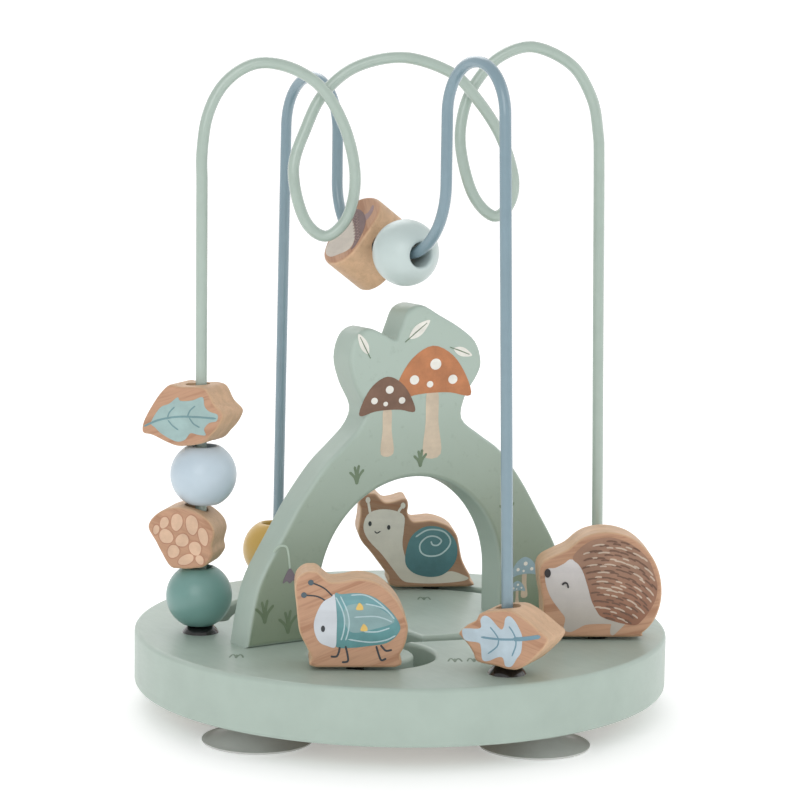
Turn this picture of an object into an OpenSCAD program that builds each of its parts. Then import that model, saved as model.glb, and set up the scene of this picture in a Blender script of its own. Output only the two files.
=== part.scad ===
// Bead maze: a round base with a track, an arch board, two bent wires,
// loose beads on the wires and three figures that run in the track.
// The base disc is centred on the origin, the table is at zero height
// and the arch faces the negative y side.

/* [Base] */
// diameter of the base disc
base_d = 180; // [165:1:200]
// thickness of the base disc
base_t = 19; // [17:0.5:24]
// rounding of the base edges
base_edge_r = 2; // [1:0.25:3]
// thickness of the cover plate let into the underside
cover_t = 5; // [4:0.5:6]
// distance from the base edge to the edge of the cover plate
cover_inset = 10; // [8:0.5:12]
// height of the suction cups under the base
cup_h = 8; // [6:0.5:12]
// rim diameter of a suction cup
cup_d = 36; // [30:1:40]

/* [Track] */
// width of the track slot in the top face
slot_w = 7; // [6:0.25:8]
// thickness of the lip that holds the figures down
lip_t = 6; // [5:0.5:7]
// width of the hidden channel under the lip
channel_w = 13; // [12:0.5:14]
// radius of the ring that runs round the island
ring_r = 17; // [15:0.5:18]
// distance from the base edge to the middle of the back track
track_inset = 27.2; // [26:0.2:32]

/* [Arch] */
// distance from the base edge to the outer edge of an arch foot
arch_inset = 25.7; // [22:0.1:28]
// height of the arch board over the base
arch_h = 110; // [100:0.5:120]
// thickness of the arch board
arch_t = 12; // [10:0.5:15]
// radius of the round top of the opening
arch_opening_r = 36.4; // [32:0.2:38]
// height of the straight sides of the opening
arch_leg_h = 15; // [10:0.5:18]
// diameter of the dowels under the feet
dowel_d = 8; // [6:0.5:9]

/* [Wires] */
// diameter of the coated wires
wire_d = 3.8; // [3.2:0.1:4.4]
// distance from the base edge to a foot of the loop wire
loop_inset = 21; // [18:0.1:24]
// height of the loop wire over the base
loop_h = 195; // [180:0.5:210]
// distance from the base edge to a foot of the dip wire
dip_inset = 15.1; // [13:0.1:18]
// height of the lowest run of the dip wire over the top of the arch
dip_clear = 17.4; // [14:0.2:22]
// height of the front bend of the dip wire over its lowest run
dip_front_rise = 63.4; // [58:0.2:70]
// height of the back bend of the dip wire over its lowest run
dip_back_rise = 56; // [52:0.2:66]
// diameter of the dome plugs round the wire feet
plug_d = 12.3; // [11:0.1:13]
// height of the dome plugs
plug_h = 4; // [3:0.25:5]

/* [Beads] */
// diameter of the ball beads
ball_d = 22; // [20:0.5:23]
// diameter of the bores through the balls, leaves and cone
bore_d = 8; // [7:0.25:9]
// diameter of the bore through the acorn, which runs round a bend
acorn_bore_d = 9.4; // [9:0.2:10]
// diameter of the countersink at the ball bores
bore_rim_d = 10; // [9.5:0.25:11]
// thickness of the flat beads
bead_t = 15; // [12:0.5:17]
// width of the green leaf bead
green_leaf_w = 31; // [28:0.2:36]
// height of the green leaf bead
green_leaf_h = 20.6; // [18:0.2:24]
// width of the blue leaf bead
blue_leaf_w = 30.4; // [28:0.2:36]
// height of the blue leaf bead
blue_leaf_h = 18.8; // [18:0.2:24]
// width of the pine cone bead
cone_w = 23; // [20:0.2:26]
// height of the pine cone bead
cone_h = 20.6; // [18:0.2:24]
// width of the acorn bead along its bore
acorn_w = 22; // [19:0.2:24]
// length of the acorn bead from tip to stem
acorn_l = 27; // [24:0.2:29]
// thickness of the acorn bead
acorn_t = 17; // [14:0.5:19]

/* [Figures] */
// thickness of the figures
figure_t = 15; // [12:0.5:17]
// width of the beetle
beetle_w = 35.8; // [30:0.2:38]
// height of the beetle
beetle_h = 30.8; // [28:0.2:36]
// width of the snail
snail_w = 40.8; // [36:0.2:44]
// height of the snail
snail_h = 34.4; // [30:0.2:38]
// width of the hedgehog
hedgehog_w = 41.4; // [36:0.2:44]
// height of the hedgehog
hedgehog_h = 35.6; // [32:0.2:40]
// diameter of the sleeve that runs in the slot
sleeve_d = 6; // [5:0.25:6.5]
// diameter of the washer face under a figure
washer_d = 8; // [7.5:0.25:9]

/* [Hidden] */
$fn = 64;
// clearances and cuts
fit = 0.1;
run_gap = 0.35;
overrun = 1;
curve_steps = 4;
sweep_sides = 12;
sweep_steps = 3;
arc_steps = 16;
edge_steps = 6;
band_steps = 36;
cap_steps = 12;
cup_steps = 8;
// a swept bend is a touch thinner than the straight wire it starts in
sweep_share = 0.985;

// spans that follow the base
cover_d = base_d - 2 * cover_inset;
back_track_r = base_d / 2 - track_inset;
arch_w = base_d - 2 * arch_inset;
loop_span = base_d - 2 * loop_inset;
dip_span = base_d - 2 * dip_inset;
dip_low_h = arch_h + dip_clear;
dip_front_h = dip_low_h + dip_front_rise;
dip_back_h = dip_low_h + dip_back_rise;

// heights
base_z = cup_h;
top_z = base_z + base_t;
cover_top_z = base_z + cover_t;
lip_z = top_z - lip_t;
channel_h = lip_z - cover_top_z;
wire_depth = base_t - cover_t - overrun;

// screws
screw_d = 3;
screw_head_d = 6.5;
screw_head_h = 2;
screw_l = 13;
cover_screw_share = 0.925;
cover_screw_r = cover_d / 2 * cover_screw_share;
cover_screw_turns = [0, 118, 180, 298];
foot_play = 1.5;
foot_d = channel_w - foot_play;
foot_h = 2.5;
figure_screw_depth = 12;
washer_t = 0.8;

// arch feet and dowels
arch_x = 0.6;
arch_foot_x = (arch_w / 2 + arch_opening_r) / 2;
dowel_l = 20;

// suction cups
cup_r_share = 0.77;
cup_place_r = base_d / 2 * cup_r_share;
cup_turns = [15.5, 95.5, 195.5, 275.5];
cup_wall = 1.6;
cup_hollow_h = 3;
cup_neck_d = 12;
cup_stud_d = 9;
cup_stud_h = 3;
cup_rim_t = 0.6;
cup_neck_h = 2;

// track: ring, right slot in two straight runs, branch to the back and back arc
ring_shares = [-0.178, -0.178];
join_shares = [-0.108, -0.096];
bend_shares = [0.044, -0.144];
end_shares = [0.2632, -0.2655];
branch_shares = [-0.0394, -0.1172];
ring_at = base_d * ring_shares;
ring_join = base_d * join_shares;
run_bend = base_d * bend_shares;
run_end = base_d * end_shares;
branch_start = base_d * branch_shares;
branch_end = [branch_start[0], sqrt(pow(back_track_r, 2) - pow(branch_start[0], 2))];
back_start_turn = 27;
back_end_turn = 143;
island_top_r = ring_r - slot_w / 2;
island_stem_r = ring_r - channel_w / 2;

// feet of the wires
loop_turn = -20;
loop_mid_shares = [0.0017, -0.0011];
loop_mid = base_d * loop_mid_shares;
loop_left = loop_mid - loop_span / 2 * [cos(loop_turn), sin(loop_turn)];
loop_right = loop_mid + loop_span / 2 * [cos(loop_turn), sin(loop_turn)];
dip_turn = 88.2;
dip_shares = [-0.0356, 0.0014];
dip_mid = base_d * dip_shares;
dip_front = dip_mid - dip_span / 2 * [cos(dip_turn), sin(dip_turn)];
dip_back = dip_mid + dip_span / 2 * [cos(dip_turn), sin(dip_turn)];

// dip wire bends along its span
front_lean_share = 0.047;
back_lean_share = 0.0276;
front_strand_share = 0.269;
back_strand_share = 0.7315;
dip_front_lean = dip_span * front_lean_share;
dip_back_lean = dip_span * back_lean_share;
dip_front_strand = dip_span * front_strand_share;
dip_back_strand = dip_span * back_strand_share;
front_bend_r = (dip_front_strand - dip_front_lean) / 2;
back_bend_r = (dip_span - dip_back_lean - dip_back_strand) / 2;
dip_bead_gap = 2.2;
front_corner_share = 0.5344;
dip_run = (ball_d + acorn_w) / 2 + dip_bead_gap;
dip_corners = dip_back_strand - dip_front_strand - dip_run;
front_corner_r = dip_corners * front_corner_share;
back_corner_r = dip_corners - front_corner_r;
front_corner_s = dip_front_strand + front_corner_r;
back_corner_s = dip_back_strand - back_corner_r;
loop_leg_share = 0.8;
loop_stub_share = 0.06;
dip_stub_h = 8;

// loose beads hang off the wire by a share of the play in their bores
bead_play = (bore_d - wire_d) / 2;
loose_turn = -33.5;
teal_share = -0.25;
cone_share = -0.71;
sky_share = 0.38;
yellow_share = -0.7;
mint_rise_share = 0.1;
acorn_rise_share = 0.55;
tilt_share = 0.72;
teal_shift = bead_play * teal_share;
cone_shift = bead_play * cone_share;
sky_shift = bead_play * sky_share;
yellow_shift = bead_play * yellow_share;
mint_rise = bead_play * mint_rise_share;
acorn_rise = bead_play * acorn_rise_share;
green_leaf_tilt = atan(2 * bead_play * tilt_share / green_leaf_h);
tilt_rise = 0.6;
acorn_roll = -36;

// resting heights of the beads over the base
dome_r = (pow(plug_d / 2, 2) + pow(plug_h, 2)) / (2 * plug_h);
function dome_z(r) = sqrt(dome_r * dome_r - r * r) - dome_r + plug_h;
ball_half = sqrt(pow(ball_d / 2, 2) - pow(bore_rim_d / 2, 2));
function plug_rest(shift) = dome_z(bore_rim_d / 2 - abs(shift)) + run_gap + ball_half;
teal_z = plug_rest(teal_shift);
yellow_z = plug_rest(yellow_shift);
cone_z = teal_z + ball_half + run_gap;
sky_z = cone_z + cone_h + run_gap + ball_half;
green_leaf_z = sky_z + ball_half + run_gap + tilt_rise;
blue_leaf_z = dome_z(bore_d / 2) + run_gap;

// places of the figures
beetle_turn = -30.3;
beetle_ring_turn = 218.5;
snail_turn = -27.8;
snail_track_turn = 46.5;
hedgehog_turn = -30.9;
figure_z = top_z + run_gap + washer_t;
beetle_at = ring_at + ring_r * [cos(beetle_ring_turn), sin(beetle_ring_turn)];
snail_at = back_track_r * [cos(snail_track_turn), sin(snail_track_turn)];
hedgehog_at = run_end;
green_leaf_turn = -58;
cone_turn = -47;
blue_leaf_turn = -59.5;

// outlines as shares of width and height, clockwise from the lower left
beetle_shares = [
    [0.194, 0], [0.149, 0.108], [0.109, 0.21], [0.046, 0.363], [0.025, 0.516], [0.014, 0.656],
    [0, 0.81], [0.023, 0.93], [0.10, 0.996], [0.19, 0.994], [0.257, 0.93], [0.314, 0.888],
    [0.423, 0.895], [0.56, 0.921], [0.697, 0.895], [0.8, 0.822], [0.909, 0.68], [0.977, 0.516],
    [0.998, 0.40], [0.977, 0.248], [0.931, 0.134], [0.886, 0]];
snail_shares = [
    [0.341, 0], [0.268, 0.128], [0.195, 0.246], [0.114, 0.374], [0.032, 0.492], [0, 0.599],
    [0.014, 0.727], [0.018, 0.834], [0, 0.898], [0.023, 0.963], [0.086, 1], [0.15, 0.995],
    [0.195, 0.941], [0.241, 0.904], [0.314, 0.914], [0.386, 0.941], [0.427, 0.93], [0.441, 0.866],
    [0.436, 0.791], [0.477, 0.706], [0.541, 0.70], [0.641, 0.711], [0.741, 0.684], [0.823, 0.631],
    [0.877, 0.545], [0.90, 0.428], [0.923, 0.299], [0.959, 0.203], [0.995, 0.128], [1, 0.075],
    [0.986, 0]];
hedgehog_shares = [
    [0.06, 0], [0.047, 0.12], [0.04, 0.24], [0.034, 0.35], [0.015, 0.467], [0.003, 0.628],
    [0.038, 0.715], [0.138, 0.781], [0.238, 0.839], [0.326, 0.927], [0.414, 0.978], [0.533, 1],
    [0.664, 0.98], [0.787, 0.915], [0.9, 0.785], [0.968, 0.63], [0.996, 0.453], [0.984, 0.292],
    [0.934, 0.146], [0.852, 0.044], [0.777, 0]];
green_leaf_shares = [
    [0, 0.35], [0.04, 0.48], [0.14, 0.67], [0.27, 0.875], [0.40, 1], [0.51, 0.963], [0.63, 0.944],
    [0.76, 0.925], [0.85, 0.85], [0.91, 0.63], [1, 0.47], [0.98, 0.36], [0.91, 0.235],
    [0.83, 0.14], [0.73, 0.03], [0.55, 0], [0.40, 0.01], [0.27, 0.09], [0.115, 0.215], [0.01, 0.26]];
blue_leaf_shares = [
    [0, 0.52], [0.086, 0.664], [0.186, 0.764], [0.23, 0.884], [0.33, 0.944], [0.543, 1], [0.657, 0.954],
    [0.786, 0.844], [0.914, 0.704], [1, 0.604], [0.971, 0.464], [0.886, 0.304], [0.771, 0.124],
    [0.657, 0.01], [0.543, 0], [0.43, 0.03], [0.214, 0.064], [0.164, 0.204], [0.1, 0.344], [0.03, 0.444]];
cone_shares = [
    [0, 0.643], [0.075, 0.82], [0.27, 0.964], [0.5, 1], [0.73, 0.946], [0.93, 0.786], [1, 0.607],
    [0.96, 0.393], [0.975, 0.25], [0.86, 0.07], [0.7, 0.02], [0.53, 0], [0.34, 0.02], [0.2, 0.25],
    [0.11, 0.43]];
acorn_shares = [
    [0.5, 0], [0.34, 0.02], [0.17, 0.1], [0.06, 0.25], [0.03, 0.45], [0.01, 0.6], [0, 0.7],
    [0.06, 0.85], [0.2, 0.95], [0.4, 0.995], [0.6, 0.995], [0.8, 0.95], [0.94, 0.85], [1, 0.7],
    [0.99, 0.6], [0.97, 0.45], [0.94, 0.25], [0.83, 0.1], [0.66, 0.02]];
arch_shares = [
    [0.5, 0], [0.493, 0.118], [0.468, 0.209], [0.408, 0.323], [0.353, 0.423], [0.283, 0.523],
    [0.212, 0.582], [0.155, 0.636], [0.165, 0.705], [0.201, 0.765], [0.213, 0.81], [0.194, 0.872],
    [0.142, 0.92], [0.08, 0.96], [0.023, 0.994], [-0.02, 0.98], [-0.042, 0.928], [-0.058, 0.895],
    [-0.09, 0.911], [-0.142, 0.933], [-0.182, 0.908], [-0.199, 0.84], [-0.182, 0.765],
    [-0.15, 0.69], [-0.165, 0.636], [-0.214, 0.582], [-0.272, 0.523], [-0.342, 0.423],
    [-0.397, 0.323], [-0.457, 0.209], [-0.482, 0.118], [-0.5, 0]];
green_leaf_axis_share = 0.617;
blue_leaf_axis_share = 0.45;
cone_axis_share = 0.63;
beetle_axis_share = 0.54;
snail_axis_share = 0.67;
hedgehog_axis_share = 0.5;
acorn_axis_share = 0.5;
acorn_bore_share = 0.5;

// route of the loop wire: share of span, side step in wire diameters, share of height
loop_shares = [
    [0, 0, 0.775], [0, 0, 0.82], [0.012, 0, 0.878], [0.044, 0, 0.926], [0.094, -0.2, 0.958],
    [0.152, -0.4, 0.969], [0.228, -0.7, 0.955], [0.292, -0.9, 0.92], [0.344, -0.8, 0.853],
    [0.367, -0.6, 0.776], [0.35, -0.3, 0.71], [0.299, 0, 0.678], [0.248, 0.3, 0.708],
    [0.223, 0.6, 0.789], [0.254, 0.8, 0.86], [0.297, 0.9, 0.918], [0.373, 0.6, 0.963],
    [0.485, 0, 0.98], [0.598, -0.6, 0.956], [0.657, -0.9, 0.916], [0.722, -0.8, 0.851],
    [0.759, -0.6, 0.779], [0.754, -0.2, 0.733], [0.716, 0, 0.711], [0.665, 0.3, 0.748],
    [0.635, 0.6, 0.826], [0.641, 0.8, 0.887], [0.671, 0.9, 0.937], [0.728, 0.6, 0.982],
    [0.809, 0.2, 1], [0.905, 0, 0.97], [0.958, 0, 0.914], [0.976, 0, 0.856], [0.981, 0, 0.795],
    [0.988, 0, 0.55], [0.997, 0, 0.25], [1, 0, 0.12], [1, 0, 0.05], [1, 0, 0.02]];

// smooth curve through four neighbouring points
function blend_points(a, b, c, d, t) =
    (2 * b + (c - a) * t + (2 * a - 5 * b + 4 * c - d) * t * t + (3 * b - a - 3 * c + d) * t * t * t) / 2;
function pick(p, i) = p[max(0, min(len(p) - 1, i))];
function ring_curve(p) = [
    for (i = [0 : len(p) - 1])
    for (k = [0 : curve_steps - 1])
    let (n = len(p))
    blend_points(p[(i + n - 1) % n], p[i], p[(i + 1) % n], p[(i + 2) % n], k / curve_steps)];
function open_curve(p, steps) = concat([
    for (i = [0 : len(p) - 2])
    for (k = [0 : steps - 1])
    blend_points(pick(p, i - 1), p[i], p[i + 1], pick(p, i + 2), k / steps)], [p[len(p) - 1]]);
function sized(shares, w, h, axis) = [for (s = shares) [(s[0] - axis) * w, s[1] * h]];
function unit(v) = v / norm(v);
function arc_points(mid, r, from, to, steps) = [
    for (k = [0 : steps])
    let (a = from + (to - from) * k / steps)
    [mid[0] + r * cos(a), 0, mid[1] + r * sin(a)]];

// route of the dip wire between the tops of its straight legs
dip_front_mid_h = dip_front_h - front_bend_r;
dip_back_mid_h = dip_back_h - back_bend_r;
dip_route = concat(
    [[0, 0, dip_stub_h / 2], [0, 0, dip_stub_h + overrun]],
    arc_points([dip_front_lean + front_bend_r, dip_front_mid_h], front_bend_r, 180, 0, arc_steps),
    arc_points([front_corner_s, dip_low_h + front_corner_r], front_corner_r, 180, 270, arc_steps),
    arc_points([back_corner_s, dip_low_h + back_corner_r], back_corner_r, 270, 360, arc_steps),
    arc_points([dip_back_strand + back_bend_r, dip_back_mid_h], back_bend_r, 180, 0, arc_steps),
    [[dip_span, 0, dip_stub_h + overrun], [dip_span, 0, dip_stub_h / 2]]);
loop_points = [for (s = loop_shares) [s[0] * loop_span, s[1] * wire_d, s[2] * loop_h]];
loop_route = open_curve(loop_points, sweep_steps);

// round rod swept along a route that stays near the xz plane
module sweep(route, r) {
    n = len(route);
    side = [0, 1, 0];
    ways = [for (i = [0 : n - 1]) unit(pick(route, i + 1) - pick(route, i - 1))];
    rings = [
        for (i = [0 : n - 1])
        let (across = unit(cross(ways[i], side)), along = cross(across, ways[i]))
        for (k = [0 : sweep_sides - 1])
        let (a = 360 * k / sweep_sides)
        route[i] + r * (cos(a) * across + sin(a) * along)];
    walls = [
        for (i = [0 : n - 2])
        for (k = [0 : sweep_sides - 1])
        let (a = i * sweep_sides + k, b = i * sweep_sides + (k + 1) % sweep_sides)
        each [[a, b, b + sweep_sides], [a, b + sweep_sides, a + sweep_sides]]];
    caps = [
        [for (k = [0 : sweep_sides - 1]) sweep_sides - 1 - k],
        [for (k = [0 : sweep_sides - 1]) (n - 1) * sweep_sides + k]];
    polyhedron(rings, concat(walls, caps));
}

// flat piece cut to an outline, face towards negative y, axis on the z line
module slice(shares, w, h, t, axis) {
    rotate([90, 0, 0])
        linear_extrude(t, center = true)
            intersection() {
                polygon(ring_curve(sized(shares, w, h, axis)));
                translate([-w, 0])
                    square([2 * w, h]);
            }
}

module flat_bead(shares, w, h, axis) {
    difference() {
        slice(shares, w, h, bead_t, axis);
        translate([0, 0, -overrun])
            cylinder(d = bore_d, h = h + 2 * overrun);
    }
}

module ball() {
    sink = (bore_rim_d - bore_d) / 2;
    difference() {
        sphere(d = ball_d);
        cylinder(d = bore_d, h = ball_d + overrun, center = true);
        for (side = [0, 1])
            mirror([0, 0, side])
                translate([0, 0, ball_half - sink])
                    cylinder(d1 = bore_d, d2 = bore_d + 4 * sink, h = 2 * sink);
    }
}

// points of a half circle, from the start angle on, without its two ends
function cap(mid, w, start) = [
    for (k = [1 : cap_steps - 1])
    let (a = start + 180 * k / cap_steps)
    mid + w / 2 * [cos(a), sin(a)]];

// slot in two straight runs with round ends
module bent_band(a, b, c, w) {
    first = atan2(b[1] - a[1], b[0] - a[0]);
    second = atan2(c[1] - b[1], c[0] - b[0]);
    bend = (first + second) / 2;
    corner = w / 2 / cos((second - first) / 2) * [-sin(bend), cos(bend)];
    start_side = w / 2 * [-sin(first), cos(first)];
    end_side = w / 2 * [-sin(second), cos(second)];
    polygon(concat(
        [a - start_side, b - corner, c - end_side], cap(c, w, second - 90),
        [c + end_side, b + corner, a + start_side], cap(a, w, first + 90)));
}

// slot along an arc round the origin, with round ends
module arc_band(r, w, from, to) {
    function arc(radius, start, end) = [
        for (k = [0 : band_steps])
        let (a = start + (end - start) * k / band_steps)
        radius * [cos(a), sin(a)]];
    polygon(concat(
        arc(r + w / 2, from, to), cap(r * [cos(to), sin(to)], w, to),
        arc(r - w / 2, to, from), cap(r * [cos(from), sin(from)], w, from + 180)));
}

module track(w) {
    translate(ring_at)
        circle(r = ring_r + w / 2);
    bent_band(ring_join, run_bend, run_end, w);
    translate([branch_start[0] - w / 2, branch_start[1]])
        square([w, branch_end[1] - branch_start[1]]);
    arc_band(back_track_r, w, back_start_turn, back_end_turn);
}

module at_turns(turns, r, i) {
    translate(r * [cos(turns[i]), sin(turns[i]), 0])
        children();
}

module screw_shape(length, head_d, head_h) {
    cylinder(d = head_d, h = head_h);
    cylinder(d = screw_d, h = length);
}

module screw_room() {
    translate([0, 0, -overrun])
        cylinder(d = screw_head_d + 2 * fit, h = screw_head_h + overrun);
    cylinder(d = screw_d + 2 * fit, h = screw_l + fit);
}

module base_blank() {
    r = base_edge_r;
    function edge(z, from) = [
        for (k = [0 : edge_steps])
        let (a = from + 90 * k / edge_steps)
        [base_d / 2 - r + r * cos(a), z + r * sin(a)]];
    translate([0, 0, base_z])
        rotate_extrude()
            polygon(concat([[0, 0]], edge(r, -90), edge(base_t - r, 0), [[0, base_t]]));
}

module base_disc() {
    color([0.68, 0.74, 0.69])
        difference() {
            base_blank();
            translate([0, 0, lip_z - overrun])
                linear_extrude(lip_t + 2 * overrun)
                    track(slot_w);
            translate([0, 0, cover_top_z - overrun])
                linear_extrude(channel_h + overrun)
                    track(channel_w);
            translate([0, 0, base_z - overrun])
                cylinder(d = cover_d + 2 * fit, h = cover_t + overrun);
            for (foot = [loop_left, loop_right, dip_front, dip_back])
                translate([foot[0], foot[1], top_z - wire_depth])
                    cylinder(d = wire_d + 2 * fit, h = wire_depth + overrun);
            for (side = [-1, 1])
                translate([arch_x + side * arch_foot_x, 0, top_z - dowel_l / 2])
                    cylinder(d = dowel_d + 2 * fit, h = dowel_l / 2 + overrun);
            for (i = [0 : len(cover_screw_turns) - 1])
                at_turns(cover_screw_turns, cover_screw_r, i)
                    translate([0, 0, base_z])
                        screw_room();
        }
}

module base_cover() {
    color([0.72, 0.66, 0.55])
        difference() {
            translate([0, 0, base_z])
                cylinder(d = cover_d, h = cover_t);
            for (i = [0 : len(cover_screw_turns) - 1])
                at_turns(cover_screw_turns, cover_screw_r, i)
                    translate([0, 0, base_z])
                        screw_room();
            translate([ring_at[0], ring_at[1], base_z])
                screw_room();
            for (i = [0 : len(cup_turns) - 1])
                at_turns(cup_turns, cup_place_r, i)
                    translate([0, 0, base_z - overrun])
                        cylinder(d = cup_stud_d + 2 * fit, h = cup_stud_h + fit + overrun);
        }
}

module cover_screw(i) {
    color([0.75, 0.75, 0.77])
        at_turns(cover_screw_turns, cover_screw_r, i)
            translate([0, 0, base_z])
                screw_shape(screw_l, screw_head_d, screw_head_h);
}

module track_island() {
    color([0.68, 0.74, 0.69])
        translate([ring_at[0], ring_at[1], 0])
            difference() {
                union() {
                    translate([0, 0, cover_top_z])
                        cylinder(r = island_stem_r, h = channel_h + overrun);
                    translate([0, 0, lip_z])
                        cylinder(r = island_top_r, h = lip_t);
                }
                translate([0, 0, base_z])
                    screw_room();
            }
}

module island_screw() {
    color([0.75, 0.75, 0.77])
        translate([ring_at[0], ring_at[1], base_z])
            screw_shape(screw_l, screw_head_d, screw_head_h);
}

module arch() {
    color([0.68, 0.74, 0.69])
        translate([arch_x, 0, top_z])
            difference() {
                rotate([90, 0, 0])
                    linear_extrude(arch_t, center = true)
                        difference() {
                            intersection() {
                                polygon(open_curve(sized(arch_shares, arch_w, arch_h, 0), curve_steps));
                                translate([-arch_w, 0])
                                    square([2 * arch_w, 2 * arch_h]);
                            }
                            translate([0, arch_leg_h])
                                circle(r = arch_opening_r);
                            translate([-arch_opening_r, -overrun])
                                square([2 * arch_opening_r, arch_leg_h + overrun]);
                        }
                for (side = [-1, 1])
                    translate([side * arch_foot_x, 0, -overrun])
                        cylinder(d = dowel_d + 2 * fit, h = dowel_l / 2 + overrun);
            }
}

module arch_dowel(side) {
    color([0.82, 0.7, 0.55])
        translate([arch_x + side * arch_foot_x, 0, top_z])
            cylinder(d = dowel_d, h = dowel_l - 2 * fit, center = true);
}

module loop_wire() {
    color([0.71, 0.77, 0.74])
        translate([loop_left[0], loop_left[1], top_z])
            rotate(loop_turn) {
                translate([0, 0, -wire_depth])
                    cylinder(d = wire_d, h = wire_depth + loop_h * loop_leg_share);
                translate([loop_span, 0, -wire_depth])
                    cylinder(d = wire_d, h = wire_depth + loop_h * loop_stub_share);
                sweep(loop_route, wire_d / 2 * sweep_share);
            }
}

module dip_wire() {
    color([0.55, 0.65, 0.71])
        translate([dip_front[0], dip_front[1], top_z])
            rotate(dip_turn) {
                translate([0, 0, -wire_depth])
                    cylinder(d = wire_d, h = wire_depth + dip_stub_h);
                translate([dip_span, 0, -wire_depth])
                    cylinder(d = wire_d, h = wire_depth + dip_stub_h);
                sweep(dip_route, wire_d / 2 * sweep_share);
            }
}

module plug(foot) {
    color([0.07, 0.06, 0.06])
        translate([foot[0], foot[1], top_z])
            difference() {
                intersection() {
                    translate([0, 0, plug_h - dome_r])
                        sphere(r = dome_r);
                    cylinder(d = 2 * plug_d, h = 2 * plug_h);
                }
                translate([0, 0, -overrun])
                    cylinder(d = wire_d + 2 * fit, h = plug_h + 2 * overrun);
            }
}

module cup(i) {
    rim = cup_d / 2;
    neck = cup_neck_d / 2;
    outer = [
        for (k = [0 : cup_steps])
        let (t = k / cup_steps)
        [rim + (neck - rim) * t, cup_rim_t + (cup_h - cup_neck_h - cup_rim_t) * t * t]];
    inner = [
        for (k = [0 : cup_steps])
        let (t = k / cup_steps)
        [(rim - cup_wall) * t, cup_hollow_h * (1 - t * t)]];
    color([0.65, 0.65, 0.64])
        at_turns(cup_turns, cup_place_r, i)
            rotate_extrude()
                polygon(concat(inner, [[rim, 0]], outer, [[neck, cup_h]], [[cup_stud_d / 2, cup_h]],
                    [[cup_stud_d / 2, cup_h + cup_stud_h]], [[0, cup_h + cup_stud_h]]));
}

module on_leg(foot, z, turn, shift) {
    translate([foot[0] + shift * cos(loose_turn), foot[1] + shift * sin(loose_turn), top_z + z])
        rotate(turn)
            children();
}

module tilted(angle, h) {
    translate([0, 0, h])
        rotate([0, -angle, 0])
            translate([0, 0, -h])
                children();
}

module teal_ball() {
    color([0.43, 0.61, 0.57])
        on_leg(loop_left, teal_z, 0, teal_shift)
            ball();
}

module pine_cone() {
    color([0.8, 0.66, 0.52])
        on_leg(loop_left, cone_z, cone_turn, cone_shift)
            flat_bead(cone_shares, cone_w, cone_h, cone_axis_share);
}

module sky_ball() {
    color([0.73, 0.8, 0.84])
        on_leg(loop_left, sky_z, 0, sky_shift)
            ball();
}

module green_leaf() {
    color([0.6, 0.72, 0.7])
        on_leg(loop_left, green_leaf_z, green_leaf_turn, 0)
            tilted(green_leaf_tilt, green_leaf_h / 2)
                flat_bead(green_leaf_shares, green_leaf_w, green_leaf_h, green_leaf_axis_share);
}

module blue_leaf() {
    color([0.7, 0.77, 0.81])
        on_leg(dip_front, blue_leaf_z, blue_leaf_turn, 0)
            flat_bead(blue_leaf_shares, blue_leaf_w, blue_leaf_h, blue_leaf_axis_share);
}

module yellow_ball() {
    color([0.79, 0.65, 0.34])
        on_leg(dip_back, yellow_z, 0, yellow_shift)
            ball();
}

module on_dip(s, rise) {
    translate([dip_front[0], dip_front[1], top_z + dip_low_h + rise])
        rotate(dip_turn)
            translate([s, 0, 0])
                children();
}

module mint_ball() {
    color([0.79, 0.85, 0.84])
        on_dip(front_corner_s, mint_rise)
            rotate([0, 90, 0])
                ball();
}

module acorn() {
    color([0.7, 0.6, 0.52])
        on_dip(back_corner_s, acorn_rise)
            rotate([acorn_roll, 0, 180])
                difference() {
                    translate([0, 0, -acorn_l * acorn_bore_share])
                        slice(acorn_shares, acorn_w, acorn_l, acorn_t, acorn_axis_share);
                    rotate([0, 90, 0])
                        cylinder(d = acorn_bore_d, h = acorn_w + 2 * overrun, center = true);
                }
}

module on_track(at, turn) {
    translate([at[0], at[1], figure_z])
        rotate(turn)
            children();
}

module figure(shares, w, h, axis) {
    difference() {
        slice(shares, w, h, figure_t, axis);
        translate([0, 0, -overrun])
            cylinder(d = screw_d + 2 * fit, h = figure_screw_depth + overrun);
    }
}

module sleeve(at) {
    reach = washer_t + run_gap + lip_t + run_gap;
    color([0.09, 0.09, 0.09])
        on_track(at, 0)
            difference() {
                union() {
                    translate([0, 0, -reach])
                        cylinder(d = sleeve_d, h = reach);
                    translate([0, 0, -washer_t])
                        cylinder(d = washer_d, h = washer_t);
                }
                translate([0, 0, -reach - overrun])
                    cylinder(d = screw_d + 2 * fit, h = reach + 2 * overrun);
            }
}

module figure_screw(at) {
    reach = washer_t + run_gap + lip_t + run_gap + foot_h;
    color([0.75, 0.75, 0.77])
        on_track(at, 0)
            translate([0, 0, -reach])
                screw_shape(reach + figure_screw_depth - fit, foot_d, foot_h);
}

module beetle() {
    color([0.78, 0.62, 0.48])
        on_track(beetle_at, beetle_turn)
            figure(beetle_shares, beetle_w, beetle_h, beetle_axis_share);
}

module snail() {
    color([0.74, 0.58, 0.46])
        on_track(snail_at, snail_turn)
            figure(snail_shares, snail_w, snail_h, snail_axis_share);
}

module hedgehog() {
    color([0.72, 0.54, 0.42])
        on_track(hedgehog_at, hedgehog_turn)
            figure(hedgehog_shares, hedgehog_w, hedgehog_h, hedgehog_axis_share);
}

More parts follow.
